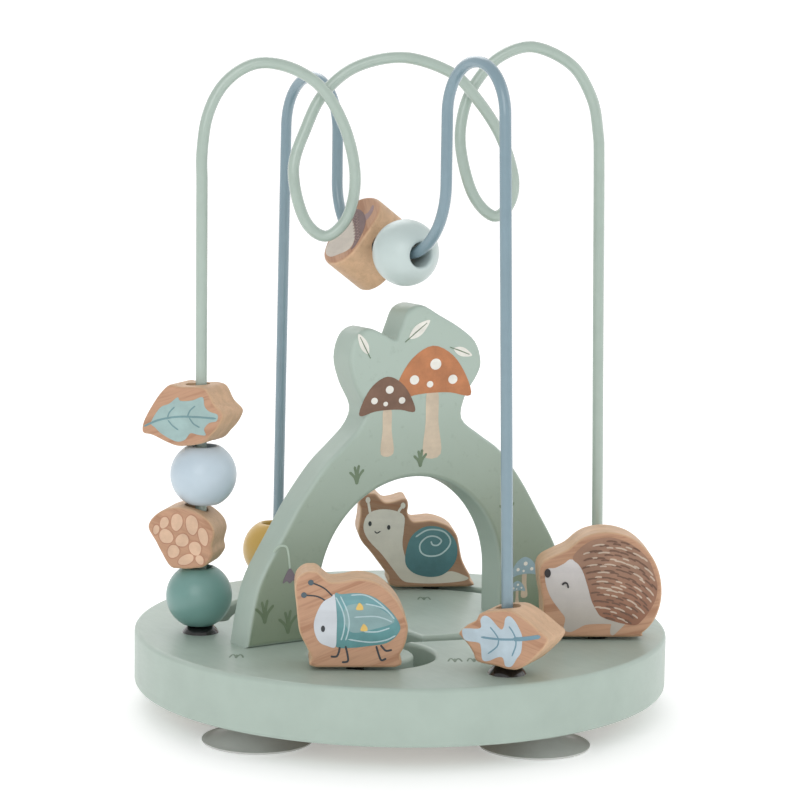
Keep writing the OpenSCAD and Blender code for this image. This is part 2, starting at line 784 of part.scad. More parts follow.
base_disc();
base_cover();
cover_screw(0);  // cover_screw_1
cover_screw(1);  // cover_screw_2
cover_screw(2);  // cover_screw_3
cover_screw(3);  // cover_screw_4
track_island();
island_screw();
arch();
arch_dowel(-1);  // arch_dowel_left
arch_dowel(1);  // arch_dowel_right
loop_wire();
dip_wire();
plug(loop_left);  // plug_left
plug(loop_right);  // plug_right
plug(dip_front);  // plug_front
plug(dip_back);  // plug_back
cup(0);  // cup_right
cup(1);  // cup_back
cup(2);  // cup_left
cup(3);  // cup_front
teal_ball();
pine_cone();
sky_ball();
green_leaf();
blue_leaf();
yellow_ball();
mint_ball();
acorn();
beetle();
sleeve(beetle_at);  // beetle_sleeve
figure_screw(beetle_at);  // beetle_screw
snail();
sleeve(snail_at);  // snail_sleeve
figure_screw(snail_at);  // snail_screw
hedgehog();
sleeve(hedgehog_at);  // hedgehog_sleeve
figure_screw(hedgehog_at);  // hedgehog_screw
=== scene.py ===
"""Bead maze: a round painted base with a track, an arch board, two bent wires, beads and figures."""

import math

import bmesh
import bpy
from bpy.props import FloatProperty, FloatVectorProperty, PointerProperty
from mathutils import Matrix, Quaternion, Vector


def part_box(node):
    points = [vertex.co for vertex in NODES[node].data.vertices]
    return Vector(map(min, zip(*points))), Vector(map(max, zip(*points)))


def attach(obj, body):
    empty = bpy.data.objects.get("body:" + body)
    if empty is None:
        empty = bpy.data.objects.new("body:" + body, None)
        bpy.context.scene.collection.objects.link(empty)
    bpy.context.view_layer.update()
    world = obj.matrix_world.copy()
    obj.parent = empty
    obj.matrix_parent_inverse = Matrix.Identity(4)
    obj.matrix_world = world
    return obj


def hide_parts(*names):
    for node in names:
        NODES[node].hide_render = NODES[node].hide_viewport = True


bl_info = {
    "name": "Bead maze",
    "version": (1, 0, 0),
    "blender": (4, 5, 0),
    "location": "View3D > Sidebar > Bead maze",
    "description": "Builds the looks of the bead maze over its packed frame",
    "category": "Object",
}

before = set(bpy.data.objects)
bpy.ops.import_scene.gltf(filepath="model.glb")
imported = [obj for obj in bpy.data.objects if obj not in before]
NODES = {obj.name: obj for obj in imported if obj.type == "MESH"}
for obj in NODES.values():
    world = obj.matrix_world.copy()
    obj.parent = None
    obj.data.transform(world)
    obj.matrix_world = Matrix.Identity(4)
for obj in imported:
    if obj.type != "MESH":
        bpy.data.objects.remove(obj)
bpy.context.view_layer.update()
MM = 0.001
STAND = "stand"
# the side that the photo shows, in degrees about the upright axis
PHOTO_TURN = -33.5
# points closer than this are one point
WELD = 0.001 * MM
# each printed shape lies this much over the one before it
LIFT = 0.002 * MM
BUMP_DEPTH = 0.1 * MM
STEEL = (0.62, 0.62, 0.64)
# grains of the materials: noise steps in a metre, along and across
WOOD_GRAIN = (20, 340, 340)
FINE_GRAIN = (90, 1500, 1500)
FLECK_GRAIN = (260, 1900, 1900)
PRINT_GRAIN = (18, 260, 260)
PAINT_GRAIN = (300, 60, 900)
BOARD_GRAIN = (300, 300, 60)
GRAIN_TURN = -18.0


def srgb(r, g, b):
    """Linear colour of an 8-bit display colour."""
    def one(c):
        c /= 255
        return c / 12.92 if c <= 0.04045 else ((c + 0.055) / 1.055) ** 2.4
    return (one(r), one(g), one(b))


def length(name, value, description):
    return FloatProperty(name=name, description=description, default=value * MM, unit="LENGTH", precision=5)


def tint(name, rgb, description):
    return FloatVectorProperty(name=name, description=description, default=srgb(*rgb), subtype="COLOR",
                               size=3, min=0, max=1)


class MazeSizes(bpy.types.PropertyGroup):
    """Sizes that the pieces of the frame don't give"""

    wire_d: length("Wire", 3.8, "diameter of the coated wires")
    wire_depth: length("Wire depth", 13, "how far a wire goes down into the base")
    loop_span: length("Loop span", 138, "distance between the feet of the loop wire")
    loop_h: length("Loop height", 195, "height of the loop wire over the base")
    dip_span: length("Dip span", 149.8, "distance between the feet of the dip wire")
    dip_front_h: length("Front bend height", 190.8, "height of the front bend over the base")
    dip_back_h: length("Back bend height", 183.4, "height of the back bend over the base")
    dip_low_h: length("Dip height", 127.4, "height of the lowest run over the base")
    front_corner_r: length("Front corner", 24.1, "radius of the front corner of the dip")
    back_corner_r: length("Back corner", 21, "radius of the back corner of the dip")
    dip_stub_h: length("Straight foot", 9, "height of the straight foot of the dip wire")
    bore_d: length("Bore", 8, "diameter of the bores through the beads")
    acorn_bore_d: length("Acorn bore", 9.4, "diameter of the bore through the acorn")
    bore_rim_d: length("Bore rim", 10, "diameter of the rounded rim of a ball bore")
    bead_edge_r: length("Bead edge", 1.1, "rounding of the edges of beads and figures")
    arch_edge_r: length("Arch edge", 1.7, "rounding of the edges of the arch board")
    base_edge_r: length("Base edge", 1.5, "rounding of the edges of the base and its slot")
    island_edge_r: length("Island edge", 1.1, "rounding of the island inside the track's ring")
    cup_wall: length("Cup wall", 1.6, "wall of a suction cup at its rim")
    ink_t: length("Ink", 0.04, "thickness of one printed layer")


class MazeColours(bpy.types.PropertyGroup):
    """Colours of paints, coats and woods"""

    sage: tint("Sage", (168, 184, 174), "paint of the base and the arch edges")
    olive: tint("Olive", (126, 143, 121), "print at the feet of the arch")
    loop_green: tint("Loop green", (168, 184, 174), "coat of the loop wire")
    dip_blue: tint("Dip blue", (126, 150, 161), "coat of the dip wire")
    teal: tint("Teal", (110, 150, 144), "teal ball")
    sky: tint("Sky", (189, 205, 216), "light blue ball")
    yellow: tint("Yellow", (203, 166, 84), "yellow ball")
    mint: tint("Mint", (192, 206, 204), "mint ball")
    beech: tint("Beech", (206, 170, 136), "sides of the wooden pieces")
    tan: tint("Tan", (188, 146, 117), "faces of the wooden pieces")
    bark: tint("Bark", (160, 112, 82), "dark grain lines")
    black: tint("Black", (18, 17, 17), "plugs and sleeves")
    cup_grey: tint("Cup grey", (204, 206, 202), "suction cups")
    fibreboard: tint("Fibreboard", (166, 160, 146), "cover plate under the base")


def sizes():
    return bpy.context.scene.maze_sizes


def colours():
    return bpy.context.scene.maze_colours


def start():
    """Leaves edit mode and selects nothing."""
    if bpy.context.mode != "OBJECT":
        bpy.ops.object.mode_set(mode="OBJECT")
    bpy.ops.object.select_all(action="DESELECT")


def activate(obj):
    start()
    obj.select_set(True)
    bpy.context.view_layer.objects.active = obj


def add_mesh(name, verts, edges=(), faces=()):
    mesh = bpy.data.meshes.new(name)
    mesh.from_pydata(verts, edges, faces)
    obj = bpy.data.objects.new(name, mesh)
    bpy.context.scene.collection.objects.link(obj)
    activate(obj)
    return obj


def modifier(obj, kind, **values):
    activate(obj)
    mod = obj.modifiers.new(kind.title(), kind)
    for key, value in values.items():
        setattr(mod, key, value)
    bpy.ops.object.modifier_apply(modifier=mod.name)


def smooth(obj, angle=35):
    activate(obj)
    bpy.ops.object.shade_smooth_by_angle(angle=math.radians(angle))


def finish_piece(obj, body, slot, material, *nodes):
    """Gives a piece its material and its body, and hides the nodes that it stands for."""
    if material:
        obj.data.materials.clear()
        obj.data.materials.append(material)
    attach(obj, body)
    if nodes:
        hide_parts(*nodes)
    return obj


# curves


def blend(a, b, c, d, t):
    """Point between b and c on a smooth curve through four points."""
    return (2 * b + (c - a) * t + (2 * a - 5 * b + 4 * c - d) * t * t + (3 * b - a - 3 * c + d) * t ** 3) / 2


def open_curve(points, steps):
    """Smooth curve through points, with steps between each two."""
    p = [Vector(q) for q in points]
    n = len(p)
    out = []
    for i in range(n - 1):
        four = p[max(0, i - 1)], p[i], p[i + 1], p[min(n - 1, i + 2)]
        out += [blend(*four, k / steps) for k in range(steps)]
    return out + [p[-1]]


def ring_curve(points, steps):
    """Smooth closed curve through points."""
    p = [Vector(q) for q in points]
    n = len(p)
    return [blend(p[i - 1], p[i], p[(i + 1) % n], p[(i + 2) % n], k / steps)
            for i in range(n) for k in range(steps)]


def arc(mid, r, start_turn, end_turn, steps):
    """Arc in the upright plane of a wire."""
    turns = [math.radians(start_turn + (end_turn - start_turn) * k / steps) for k in range(steps + 1)]
    return [Vector((mid[0] + r * math.cos(a), 0, mid[1] + r * math.sin(a))) for a in turns]


# faces of the frame's pieces


class Face:
    """A face of a node: its frame (right, up, out), its box in that frame and its outlines."""

    def __init__(self, node, right, up):
        self.axes = Matrix((right, up, right.cross(up))).transposed()
        bm = bmesh.new()
        bm.from_mesh(NODES[node].data)
        bmesh.ops.transform(bm, matrix=self.axes.transposed().to_4x4(), verts=bm.verts)
        bmesh.ops.remove_doubles(bm, verts=bm.verts, dist=WELD)
        bm.normal_update()
        self.lo = Vector(min(v.co[i] for v in bm.verts) for i in range(3))
        self.hi = Vector(max(v.co[i] for v in bm.verts) for i in range(3))
        level = self.hi.z - 10 * WELD
        front = {f for f in bm.faces if f.normal.z > 0.99 and f.calc_center_median().z > level}
        edges = [e for e in bm.edges if sum(f in front for f in e.link_faces) == 1]
        self.loops = self.chained(edges)
        bm.free()
        self.loops.sort(key=lambda p: -abs(area(p)))

    def chained(self, edges):
        """Closed outlines that a list of edges makes, in the list's order so that each run is the same."""
        loops = []
        joined = {}
        for e in edges:
            for v in e.verts:
                joined.setdefault(v, []).append(e)
        left = dict.fromkeys(edges)
        while left:
            first = next(iter(left))
            del left[first]
            v, end = first.verts
            loop = [end, v]
            while v is not end:
                e = next((e for e in joined[v] if e in left), None)
                if e is None:
                    break
                del left[e]
                v = e.other_vert(v)
                loop.append(v)
            loops.append([Vector(q.co.xy) for q in loop[:-1]])
        return loops

    def spot(self, x, y):
        """Point at shares of the face's width and height."""
        return Vector((self.lo.x + x * (self.hi.x - self.lo.x), self.lo.y + y * (self.hi.y - self.lo.y)))

    def matrix(self):
        return self.axes.to_4x4()


def area(p):
    """Area of an outline, negative where it runs clockwise."""
    return sum(p[i - 1].x * p[i].y - p[i].x * p[i - 1].y for i in range(len(p))) / 2


def turned_to(p, sign):
    return p if area(p) * sign > 0 else p[::-1]


def standing(node, turn, lean=(0, "X")):
    """Face of a piece that stands with its front towards negative y before it is turned."""
    turns = Matrix.Rotation(math.radians(turn), 3, "Z") @ Matrix.Rotation(math.radians(lean[0]), 3, lean[1])
    return Face(node, turns @ Vector((1, 0, 0)), turns @ Vector((0, 0, 1)))


def slab(name, loops, low, high, edge, face_matrix):
    """Plate with rounded edges cut to outlines; the first outline is the outer one."""
    curve = bpy.data.curves.new(name, "CURVE")
    curve.dimensions = "2D"
    curve.fill_mode = "BOTH"
    curve.extrude = (high - low) / 2 - edge
    curve.bevel_depth = edge
    curve.bevel_resolution = 3
    curve.offset = -edge
    for i, loop in enumerate(loops):
        loop = turned_to(loop, 1 if i == 0 else -1)
        spline = curve.splines.new("POLY")
        spline.points.add(len(loop) - 1)
        for point, co in zip(spline.points, loop):
            point.co = (co.x, co.y, 0, 1)
        spline.use_cyclic_u = True
    obj = bpy.data.objects.new(name, curve)
    bpy.context.scene.collection.objects.link(obj)
    activate(obj)
    bpy.ops.object.convert(target="MESH")
    obj = bpy.context.view_layer.objects.active
    bpy.ops.object.mode_set(mode="EDIT")
    bpy.ops.mesh.select_all(action="SELECT")
    bpy.ops.mesh.remove_doubles(threshold=WELD)
    bpy.ops.mesh.dissolve_limited(angle_limit=math.radians(0.5))
    bpy.ops.mesh.normals_make_consistent(inside=False)
    bpy.ops.object.mode_set(mode="OBJECT")
    obj.data.transform(face_matrix @ Matrix.Translation((0, 0, (low + high) / 2)))
    obj.data.update()
    return obj


def drill(obj, centre, way, d, reach):
    """Cuts a round bore through a piece."""
    start()
    turn = Vector((0, 0, 1)).rotation_difference(way).to_euler()
    bpy.ops.mesh.primitive_cylinder_add(
        vertices=48, radius=d / 2, depth=reach, location=centre, rotation=turn)
    tool = bpy.context.view_layer.objects.active
    modifier(obj, "BOOLEAN", operation="DIFFERENCE", solver="EXACT", object=tool)
    bpy.data.objects.remove(tool)


def soften(obj):
    """Shades the rounded edges softly and keeps the flat faces flat."""
    smooth(obj)
    modifier(obj, "WEIGHTED_NORMAL", keep_sharp=True)


def turned(name, profile, matrix, steps=64):
    """Solid of a closed profile (radius, height) spun about its axis."""
    n = len(profile)
    obj = add_mesh(name, [(r, 0, z) for r, z in profile], [(i, (i + 1) % n) for i in range(n)])
    bpy.ops.object.mode_set(mode="EDIT")
    bpy.ops.mesh.select_all(action="SELECT")
    bpy.ops.mesh.spin(steps=steps, angle=2 * math.pi, center=(0, 0, 0), axis=(0, 0, 1))
    bpy.ops.mesh.select_all(action="SELECT")
    bpy.ops.mesh.remove_doubles(threshold=WELD)
    bpy.ops.mesh.delete_loose()
    bpy.ops.mesh.select_all(action="SELECT")
    bpy.ops.mesh.normals_make_consistent(inside=False)
    bpy.ops.object.mode_set(mode="OBJECT")
    obj.data.transform(matrix)
    obj.data.update()
    smooth(obj)
    return obj


def rod(name, route, r, matrix):
    """Round rod along a route."""
    curve = bpy.data.curves.new(name, "CURVE")
    curve.dimensions = "3D"
    curve.bevel_depth = r
    curve.bevel_resolution = 6
    curve.use_fill_caps = True
    spline = curve.splines.new("POLY")
    spline.points.add(len(route) - 1)
    for point, co in zip(spline.points, route):
        point.co = (*co, 1)
    obj = bpy.data.objects.new(name, curve)
    bpy.context.scene.collection.objects.link(obj)
    activate(obj)
    bpy.ops.object.convert(target="MESH")
    obj = bpy.context.view_layer.objects.active
    obj.data.transform(matrix)
    smooth(obj, 50)
    return obj


# prints


def stroke(points, width, ends=0.6):
    """Ribbon round a line, narrowed at its ends."""
    p = [Vector(q) for q in points]
    left, right = [], []
    for i, q in enumerate(p):
        way = (p[min(i + 1, len(p) - 1)] - p[max(i - 1, 0)]).normalized()
        side = Vector((-way.y, way.x)) * width / 2
        if i in (0, len(p) - 1):
            side *= ends
        left.append(q + side)
        right.append(q - side)
    return left + right[::-1]


def inside(q, outline):
    """True where a point lies inside an outline."""
    hits = 0
    for a, b in zip(outline, outline[1:] + outline[:1]):
        if (a.y > q.y) != (b.y > q.y) and q.x < a.x + (q.y - a.y) / (b.y - a.y) * (b.x - a.x):
            hits += 1
    return hits % 2 == 1


def dot(x, y, r, squash=1, n=24):
    """Round outline, or an oval one where it is squashed."""
    return [Vector((x + r * math.cos(2 * math.pi * k / n), y + squash * r * math.sin(2 * math.pi * k / n)))
            for k in range(n)]


class Drawing:
    """Thin prints on a face. A shape is a material, a layer and an outline in the face's own lengths."""

    def __init__(self, face, grain_turn=GRAIN_TURN):
        self.face = face
        self.grain_turn = grain_turn
        self.shapes = []

    # foot is the colour of painted shade that the print fades into towards the bottom of the face
    def ink(self, name, rgb, wash=0.1, foot=None):
        return ink(name, srgb(*rgb), wash, self.face, self.grain_turn, srgb(*foot) if foot else None)

    def add(self, material, layer, outline):
        self.shapes.append((material, layer, outline))

    def ring(self, material, layer, points, steps=4):
        """Smooth patch through points given as shares of the face."""
        self.add(material, layer, ring_curve([self.face.spot(*q) for q in points], steps))

    def line(self, material, layer, points, width_mm, ends=0.6, steps=5):
        """Smooth stroke through points given as shares of the face."""
        route = open_curve([self.face.spot(*q) for q in points], steps)
        self.add(material, layer, stroke(route, width_mm * MM, ends))

    def dot(self, material, layer, x, y, r_mm, squash=1):
        """Round spot at shares of the face."""
        q = self.face.spot(x, y)
        self.add(material, layer, dot(q.x, q.y, r_mm * MM, squash))

    def finish(self, name, body):
        """Makes one piece of all shapes and lets it ride on a body."""
        bm = bmesh.new()
        materials = []
        t = sizes().ink_t
        for i, (material, layer, outline) in enumerate(self.shapes):
            if material not in materials:
                materials.append(material)
            outline = turned_to(list(outline), 1)
            low = self.face.hi.z - t / 4 - LIFT * i
            high = self.face.hi.z + t * (layer + 1) + LIFT * i
            top = [bm.verts.new((q.x, q.y, high)) for q in outline]
            bottom = [bm.verts.new((q.x, q.y, low)) for q in outline]
            made = [bm.faces.new(top), bm.faces.new(bottom[::-1])]
            for k in range(len(outline)):
                made.append(bm.faces.new((bottom[k - 1], bottom[k], top[k], top[k - 1])))
            for f in made:
                f.material_index = materials.index(material)
        bm.normal_update()
        many_sided = [f for f in bm.faces if len(f.verts) > 4]
        bmesh.ops.triangulate(bm, faces=many_sided, ngon_method="EAR_CLIP")
        bmesh.ops.transform(bm, matrix=self.face.matrix(), verts=bm.verts)
        obj = add_mesh(name, [])
        bm.to_mesh(obj.data)
        bm.free()
        for material in materials:
            obj.data.materials.append(material)
        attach(obj, body)


# materials


class Paint:
    """Node tree of one material, with short calls for its nodes."""

    def __init__(self, name):
        self.material = bpy.data.materials.new(name)
        self.material.use_nodes = True
        self.tree = self.material.node_tree
        self.tree.nodes.clear()
        self.shader = self.node("ShaderNodeBsdfPrincipled")
        out = self.node("ShaderNodeOutputMaterial")
        self.tree.links.new(self.shader.outputs[0], out.inputs[0])
        self.coords = self.node("ShaderNodeTexCoord").outputs["Object"]

    def node(self, kind, **values):
        n = self.tree.nodes.new(kind)
        for key, value in values.items():
            setattr(n, key, value)
        return n

    def put(self, socket, value):
        if isinstance(value, bpy.types.NodeSocket):
            self.tree.links.new(value, socket)
        else:
            socket.default_value = value

    def mapped(self, vector, scale=(1, 1, 1), turn=(0, 0, 0), kind="POINT"):
        n = self.node("ShaderNodeMapping", vector_type=kind)
        self.put(n.inputs["Vector"], vector)
        n.inputs["Rotation"].default_value = turn
        n.inputs["Scale"].default_value = scale
        return n.outputs[0]

    def noise(self, vector, scale, detail=4, roughness=0.55, distortion=0):
        n = self.node("ShaderNodeTexNoise")
        self.put(n.inputs["Vector"], vector)
        n.inputs["Scale"].default_value = scale
        n.inputs["Detail"].default_value = detail
        n.inputs["Roughness"].default_value = roughness
        n.inputs["Distortion"].default_value = distortion
        return n.outputs["Fac"]

    def spread(self, value, low, high, to_low=0, to_high=1):
        n = self.node("ShaderNodeMapRange", clamp=True)
        self.put(n.inputs[0], value)
        for i, v in enumerate((low, high, to_low, to_high)):
            n.inputs[i + 1].default_value = v
        return n.outputs[0]

    def mix(self, factor, a, b):
        n = self.node("ShaderNodeMix", data_type="RGBA")
        self.put(n.inputs[0], factor)
        for socket, value in ((n.inputs[6], a), (n.inputs[7], b)):
            self.put(socket, value if isinstance(value, bpy.types.NodeSocket) else (*value, 1))
        return n.outputs[2]

    def math(self, operation, a, b):
        n = self.node("ShaderNodeMath", operation=operation)
        self.put(n.inputs[0], a)
        self.put(n.inputs[1], b)
        return n.outputs[0]

    def parts(self, vector):
        n = self.node("ShaderNodeSeparateXYZ")
        self.put(n.inputs[0], vector)
        return n.outputs

    def bump(self, height, strength):
        n = self.node("ShaderNodeBump")
        n.inputs["Strength"].default_value = strength
        n.inputs["Distance"].default_value = BUMP_DEPTH
        self.put(n.inputs["Height"], height)
        self.put(self.shader.inputs["Normal"], n.outputs[0])

    def finish(self, colour, roughness, coat=0.0, coat_roughness=0.2):
        self.put(self.shader.inputs["Base Color"], colour)
        self.put(self.shader.inputs["Roughness"], roughness)
        self.shader.inputs["Coat Weight"].default_value = coat
        self.shader.inputs["Coat Roughness"].default_value = coat_roughness
        return self.material


def shade(colour, by):
    """A colour made darker or lighter."""
    return tuple(min(1, c * by) for c in colour)


def satin_paint(name, colour, roughness=0.42, coat=0.15):
    """Paint on wood: faint mottling and a fine grain that shows in the gloss."""
    p = Paint(name)
    cloud = p.spread(p.noise(p.coords, 90, 3), 0.3, 0.7)
    grain = p.noise(p.mapped(p.coords, PAINT_GRAIN), 2.2, 5)
    col = p.mix(cloud, shade(colour, 0.955), shade(colour, 1.03))
    p.bump(grain, 0.08)
    return p.finish(col, p.spread(grain, 0.3, 0.7, roughness - 0.05, roughness + 0.06), coat)


def coated_wire(name, colour):
    """Smooth glossy coat of a wire."""
    p = Paint(name)
    cloud = p.noise(p.coords, 160, 3)
    p.bump(p.noise(p.coords, 900, 2), 0.03)
    col = p.mix(p.spread(cloud, 0.3, 0.7), shade(colour, 0.96), shade(colour, 1.03))
    return p.finish(col, 0.24, 0.6, 0.12)


def gloss_plastic(name, colour):
    """Hard glossy plastic of plugs and sleeves."""
    p = Paint(name)
    cloud = p.noise(p.coords, 220, 2)
    return p.finish(p.mix(cloud, shade(colour, 0.8), shade(colour, 1.3)),
                    p.spread(cloud, 0.3, 0.7, 0.16, 0.24), 0.4, 0.08)


def soft_cup(name, colour):
    """Soft plastic that lets a little light through."""
    p = Paint(name)
    cloud = p.spread(p.noise(p.coords, 120, 3), 0.3, 0.7)
    p.shader.inputs["Transmission Weight"].default_value = 0.1
    p.shader.inputs["IOR"].default_value = 1.42
    return p.finish(p.mix(cloud, shade(colour, 0.94), shade(colour, 1.06)), 0.32)


def steel(name, colour):
    """Plated steel of the screws."""
    p = Paint(name)
    p.shader.inputs["Metallic"].default_value = 1
    cloud = p.noise(p.coords, 500, 4)
    return p.finish(p.mix(cloud, shade(colour, 0.8), colour), p.spread(cloud, 0.3, 0.7, 0.25, 0.4))


def wood(name, face=None, grain_turn=GRAIN_TURN, face_colour=None, seed=0.0):
    """Beech with long grain; a face may have a browner tone with stronger lines."""
    c = colours()
    p = Paint(name)
    place = p.coords
    if face:
        place = p.mapped(p.coords, turn=face.axes.to_euler(), kind="TEXTURE")
    lie = p.mapped(place, (1, 1, 1), (0, 0, math.radians(grain_turn)))
    shift = p.node("ShaderNodeVectorMath", operation="ADD")
    p.put(shift.inputs[0], lie)
    shift.inputs[1].default_value = (seed, seed * 0.7, seed * 1.3)
    lie = shift.outputs[0]
    streak = p.noise(p.mapped(lie, WOOD_GRAIN), 1.0, 5, 0.6, 0.4)
    fine = p.noise(p.mapped(lie, FINE_GRAIN), 1.0, 3, 0.6)
    fleck = p.spread(p.noise(p.mapped(lie, FLECK_GRAIN), 1.0, 1, 0.5), 0.62, 0.72)
    side = p.mix(p.spread(streak, 0.35, 0.65), shade(c.beech, 0.88), shade(c.beech, 1.06))
    side = p.mix(p.math("MULTIPLY", fleck, 0.3), side, shade(c.bark, 1.1))
    col = side
    if face:
        tone = face_colour or tuple(c.tan)
        lines = p.spread(streak, 0.53, 0.63)
        top = p.mix(p.spread(streak, 0.25, 0.6), shade(tone, 1.1), shade(tone, 0.95))
        top = p.mix(p.math("MULTIPLY", lines, 0.7), top, tuple(c.bark))
        top = p.mix(p.math("MULTIPLY", p.spread(fine, 0.52, 0.7), 0.4), top, shade(tone, 0.72))
        out = p.parts(place)[2]
        col = p.mix(p.spread(out, face.hi.z - 0.5 * MM, face.hi.z - 0.1 * MM), side, top)
    p.bump(p.math("ADD", fine, fleck), 0.12)
    return p.finish(col, p.spread(fine, 0.3, 0.7, 0.5, 0.62), 0.05, 0.4)


def ink(name, colour, wash=0.12, face=None, grain_turn=GRAIN_TURN, foot=None):
    """Print on wood: an uneven wash with the grain showing faintly through, and painted shade at its foot: a
    second, darker tone that the print fades into towards the bottom of the face.
    """
    p = Paint(name)
    cloud = p.spread(p.noise(p.coords, 140, 5, 0.65), 0.3, 0.7)
    place = p.mapped(p.coords, turn=face.axes.to_euler(), kind="TEXTURE") if face else p.coords
    lie = p.mapped(place, PRINT_GRAIN, (0, 0, math.radians(grain_turn)))
    grain = p.spread(p.noise(lie, 1.0, 5, 0.6, 0.4), 0.45, 0.7)
    col = p.mix(cloud, shade(colour, 1 - wash), shade(colour, 1 + wash))
    # painted shade: towards the bottom of the face the print turns to the darker foot colour
    if foot:
        height = face.hi.y - face.lo.y
        rise = p.spread(p.parts(place)[1], face.lo.y + 0.15 * height, face.lo.y + 0.7 * height)
        col = p.mix(rise, p.mix(cloud, shade(foot, 1 - wash), shade(foot, 1 + wash)), col)
    col = p.mix(p.math("MULTIPLY", grain, 0.22), col, shade(colour, 0.66))
    return p.finish(col, 0.5, 0.05, 0.4)


def arch_print(name, face):
    """Paint of the arch: light edges, and a print on the front that darkens towards the feet."""
    c = colours()
    p = Paint(name)
    parts = p.parts(p.coords)
    cloud = p.spread(p.noise(p.coords, 60, 4), 0.3, 0.7)
    plain = p.mix(cloud, shade(c.sage, 0.96), shade(c.sage, 1.03))
    rise = p.math("ADD", parts[2], p.math("MULTIPLY", p.noise(p.coords, 45, 5, 0.6), 16 * MM))
    front = p.mix(p.spread(rise, 34 * MM, 118 * MM), tuple(c.olive), shade(c.sage, 1.08))
    speck = p.spread(p.noise(p.coords, 420, 3, 0.6), 0.6, 0.72)
    front = p.mix(p.math("MULTIPLY", speck, 0.16), front, shade(c.olive, 0.7))
    on_front = p.spread(parts[1], -face.hi.z + 0.55 * MM, -face.hi.z + 0.12 * MM)
    grain = p.noise(p.mapped(p.coords, BOARD_GRAIN), 2.2, 5)
    p.bump(grain, 0.08)
    return p.finish(p.mix(on_front, plain, front), p.spread(grain, 0.3, 0.7, 0.38, 0.5), 0.12)


def floor_white(name):
    """Pale floor that shines a little, so that it meets the background."""
    p = Paint(name)
    cloud = p.noise(p.coords, 3, 2)
    p.shader.inputs["Emission Color"].default_value = (1, 1, 1, 1)
    p.shader.inputs["Emission Strength"].default_value = 0.27
    return p.finish(p.mix(cloud, (0.93, 0.93, 0.93), (0.95, 0.95, 0.95)), 0.75)


# places that follow the frame


def top_z():
    """Height of the base's top face."""
    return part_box("base_disc")[1].z


def middle(node):
    lo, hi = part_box(node)
    return (lo + hi) / 2


def cad_finish(node, material):
    """Gives a shown node of the frame its material."""
    obj = NODES[node]
    obj.data.materials.clear()
    obj.data.materials.append(material)


class BaseOperator(bpy.types.Operator):
    """Base disc with its slot, the island, the cover plate and its screws"""

    bl_idname = "maze.base"
    bl_label = "Base"

    RIM_POINTS = 192
    EDGE_STEPS = 6
    UNDERSIDE_LIFT = 0.2 * MM
    BLADE_SCALE = 0.7 * MM
    BLADES = (((0, 0), (-0.7, 4.5), (-1.7, 7), (-2.5, 5), (-3.1, 1)), ((0, 0), (0.1, 3.5), (0, 6.8)),
              ((0, 0), (0.7, 4.5), (1.7, 7), (2.6, 5), (3.3, 1)))
    TUFTS_MM = ((27.8, 27), (-72.9, -14.9), (-14.9, -54.6), (-9.5, -57.6))

    def execute(self, context):
        s, c = sizes(), colours()
        paint = satin_paint("base_paint", c.sage)
        face = Face("base_disc", Vector((1, 0, 0)), Vector((0, 1, 0)))
        lo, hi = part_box("base_disc")
        rim = dot(0, 0, hi.x, n=self.RIM_POINTS)
        slot = face.loops[1]
        low = lo.z + self.UNDERSIDE_LIFT
        disc = slab("painted_base", [rim, slot], low, face.hi.z, s.base_edge_r, face.matrix())
        soften(disc)
        finish_piece(disc, STAND, "base_paint", paint, "base_disc")
        self.decorate(Drawing(face))
        lo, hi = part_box("track_island")
        mid, r, h, e = (lo + hi) / 2, (hi.x - lo.x) / 2, hi.z - lo.z, s.island_edge_r
        turns = [math.pi / 2 * k / self.EDGE_STEPS for k in range(self.EDGE_STEPS + 1)]
        edge = [(r - e + e * math.sin(a), h - e + e * math.cos(a)) for a in turns]
        profile = [(0, 0), (0, h)] + edge + [(r, 0)]
        island = turned("painted_island", profile, Matrix.Translation((mid.x, mid.y, lo.z)))
        finish_piece(island, STAND, "base_paint", paint, "track_island")
        cad_finish("base_cover", satin_paint("cover_board", c.fibreboard, roughness=0.75, coat=0))
        bright = steel("screw_steel", STEEL)
        for n in NODES:
            if n.endswith("_screw") or n.startswith("cover_screw"):
                cad_finish(n, bright)
        return {"FINISHED"}

    def decorate(self, d):
        """Small tufts of grass that face the photo's side."""
        grass = ink("base_grass", srgb(114, 133, 116))
        right = Matrix.Rotation(math.radians(PHOTO_TURN), 2)
        for place in self.TUFTS_MM:
            for blade in self.BLADES:
                line = [Vector(place) * MM + right @ Vector(q) * self.BLADE_SCALE for q in blade]
                d.add(grass, 0, stroke(open_curve(line, 4), 0.6 * MM, 0.3))
        d.finish("base_print", STAND)


class CupsOperator(bpy.types.Operator):
    """Suction cups under the base"""

    bl_idname = "maze.cups"
    bl_label = "Suction cups"

    STEPS = 14
    RIM_H = 0.7 * MM
    NECK_H = 2 * MM
    HOLLOW_H = 3 * MM
    ROUNDED_RIM_MM = ((-0.5, 0), (-0.15, 0.1), (0, 0.4))

    def execute(self, context):
        s = sizes()
        soft = soft_cup("cup_soft", colours().cup_grey)
        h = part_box("base_disc")[0].z
        shares = [k / self.STEPS for k in range(self.STEPS + 1)]
        for node in ("cup_right", "cup_back", "cup_left", "cup_front"):
            lo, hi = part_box(node)
            rim = (hi.x - lo.x) / 2
            neck, stud, stud_h = rim / 3, rim / 4, hi.z
            rise = h - self.NECK_H - self.RIM_H
            outer = [(rim + (neck - rim) * t, self.RIM_H + rise * t * t) for t in shares]
            inner = [((rim - s.cup_wall) * t, self.HOLLOW_H * (1 - t * t)) for t in shares]
            rounded = [(rim + x * MM, y * MM) for x, y in self.ROUNDED_RIM_MM]
            profile = inner + rounded + outer + [(neck, h), (stud, h), (stud, stud_h), (0, stud_h)]
            mid = middle(node)
            cup = turned("soft_" + node, profile, Matrix.Translation((mid.x, mid.y, 0)))
            finish_piece(cup, STAND, "cup_soft", soft, node)
        return {"FINISHED"}


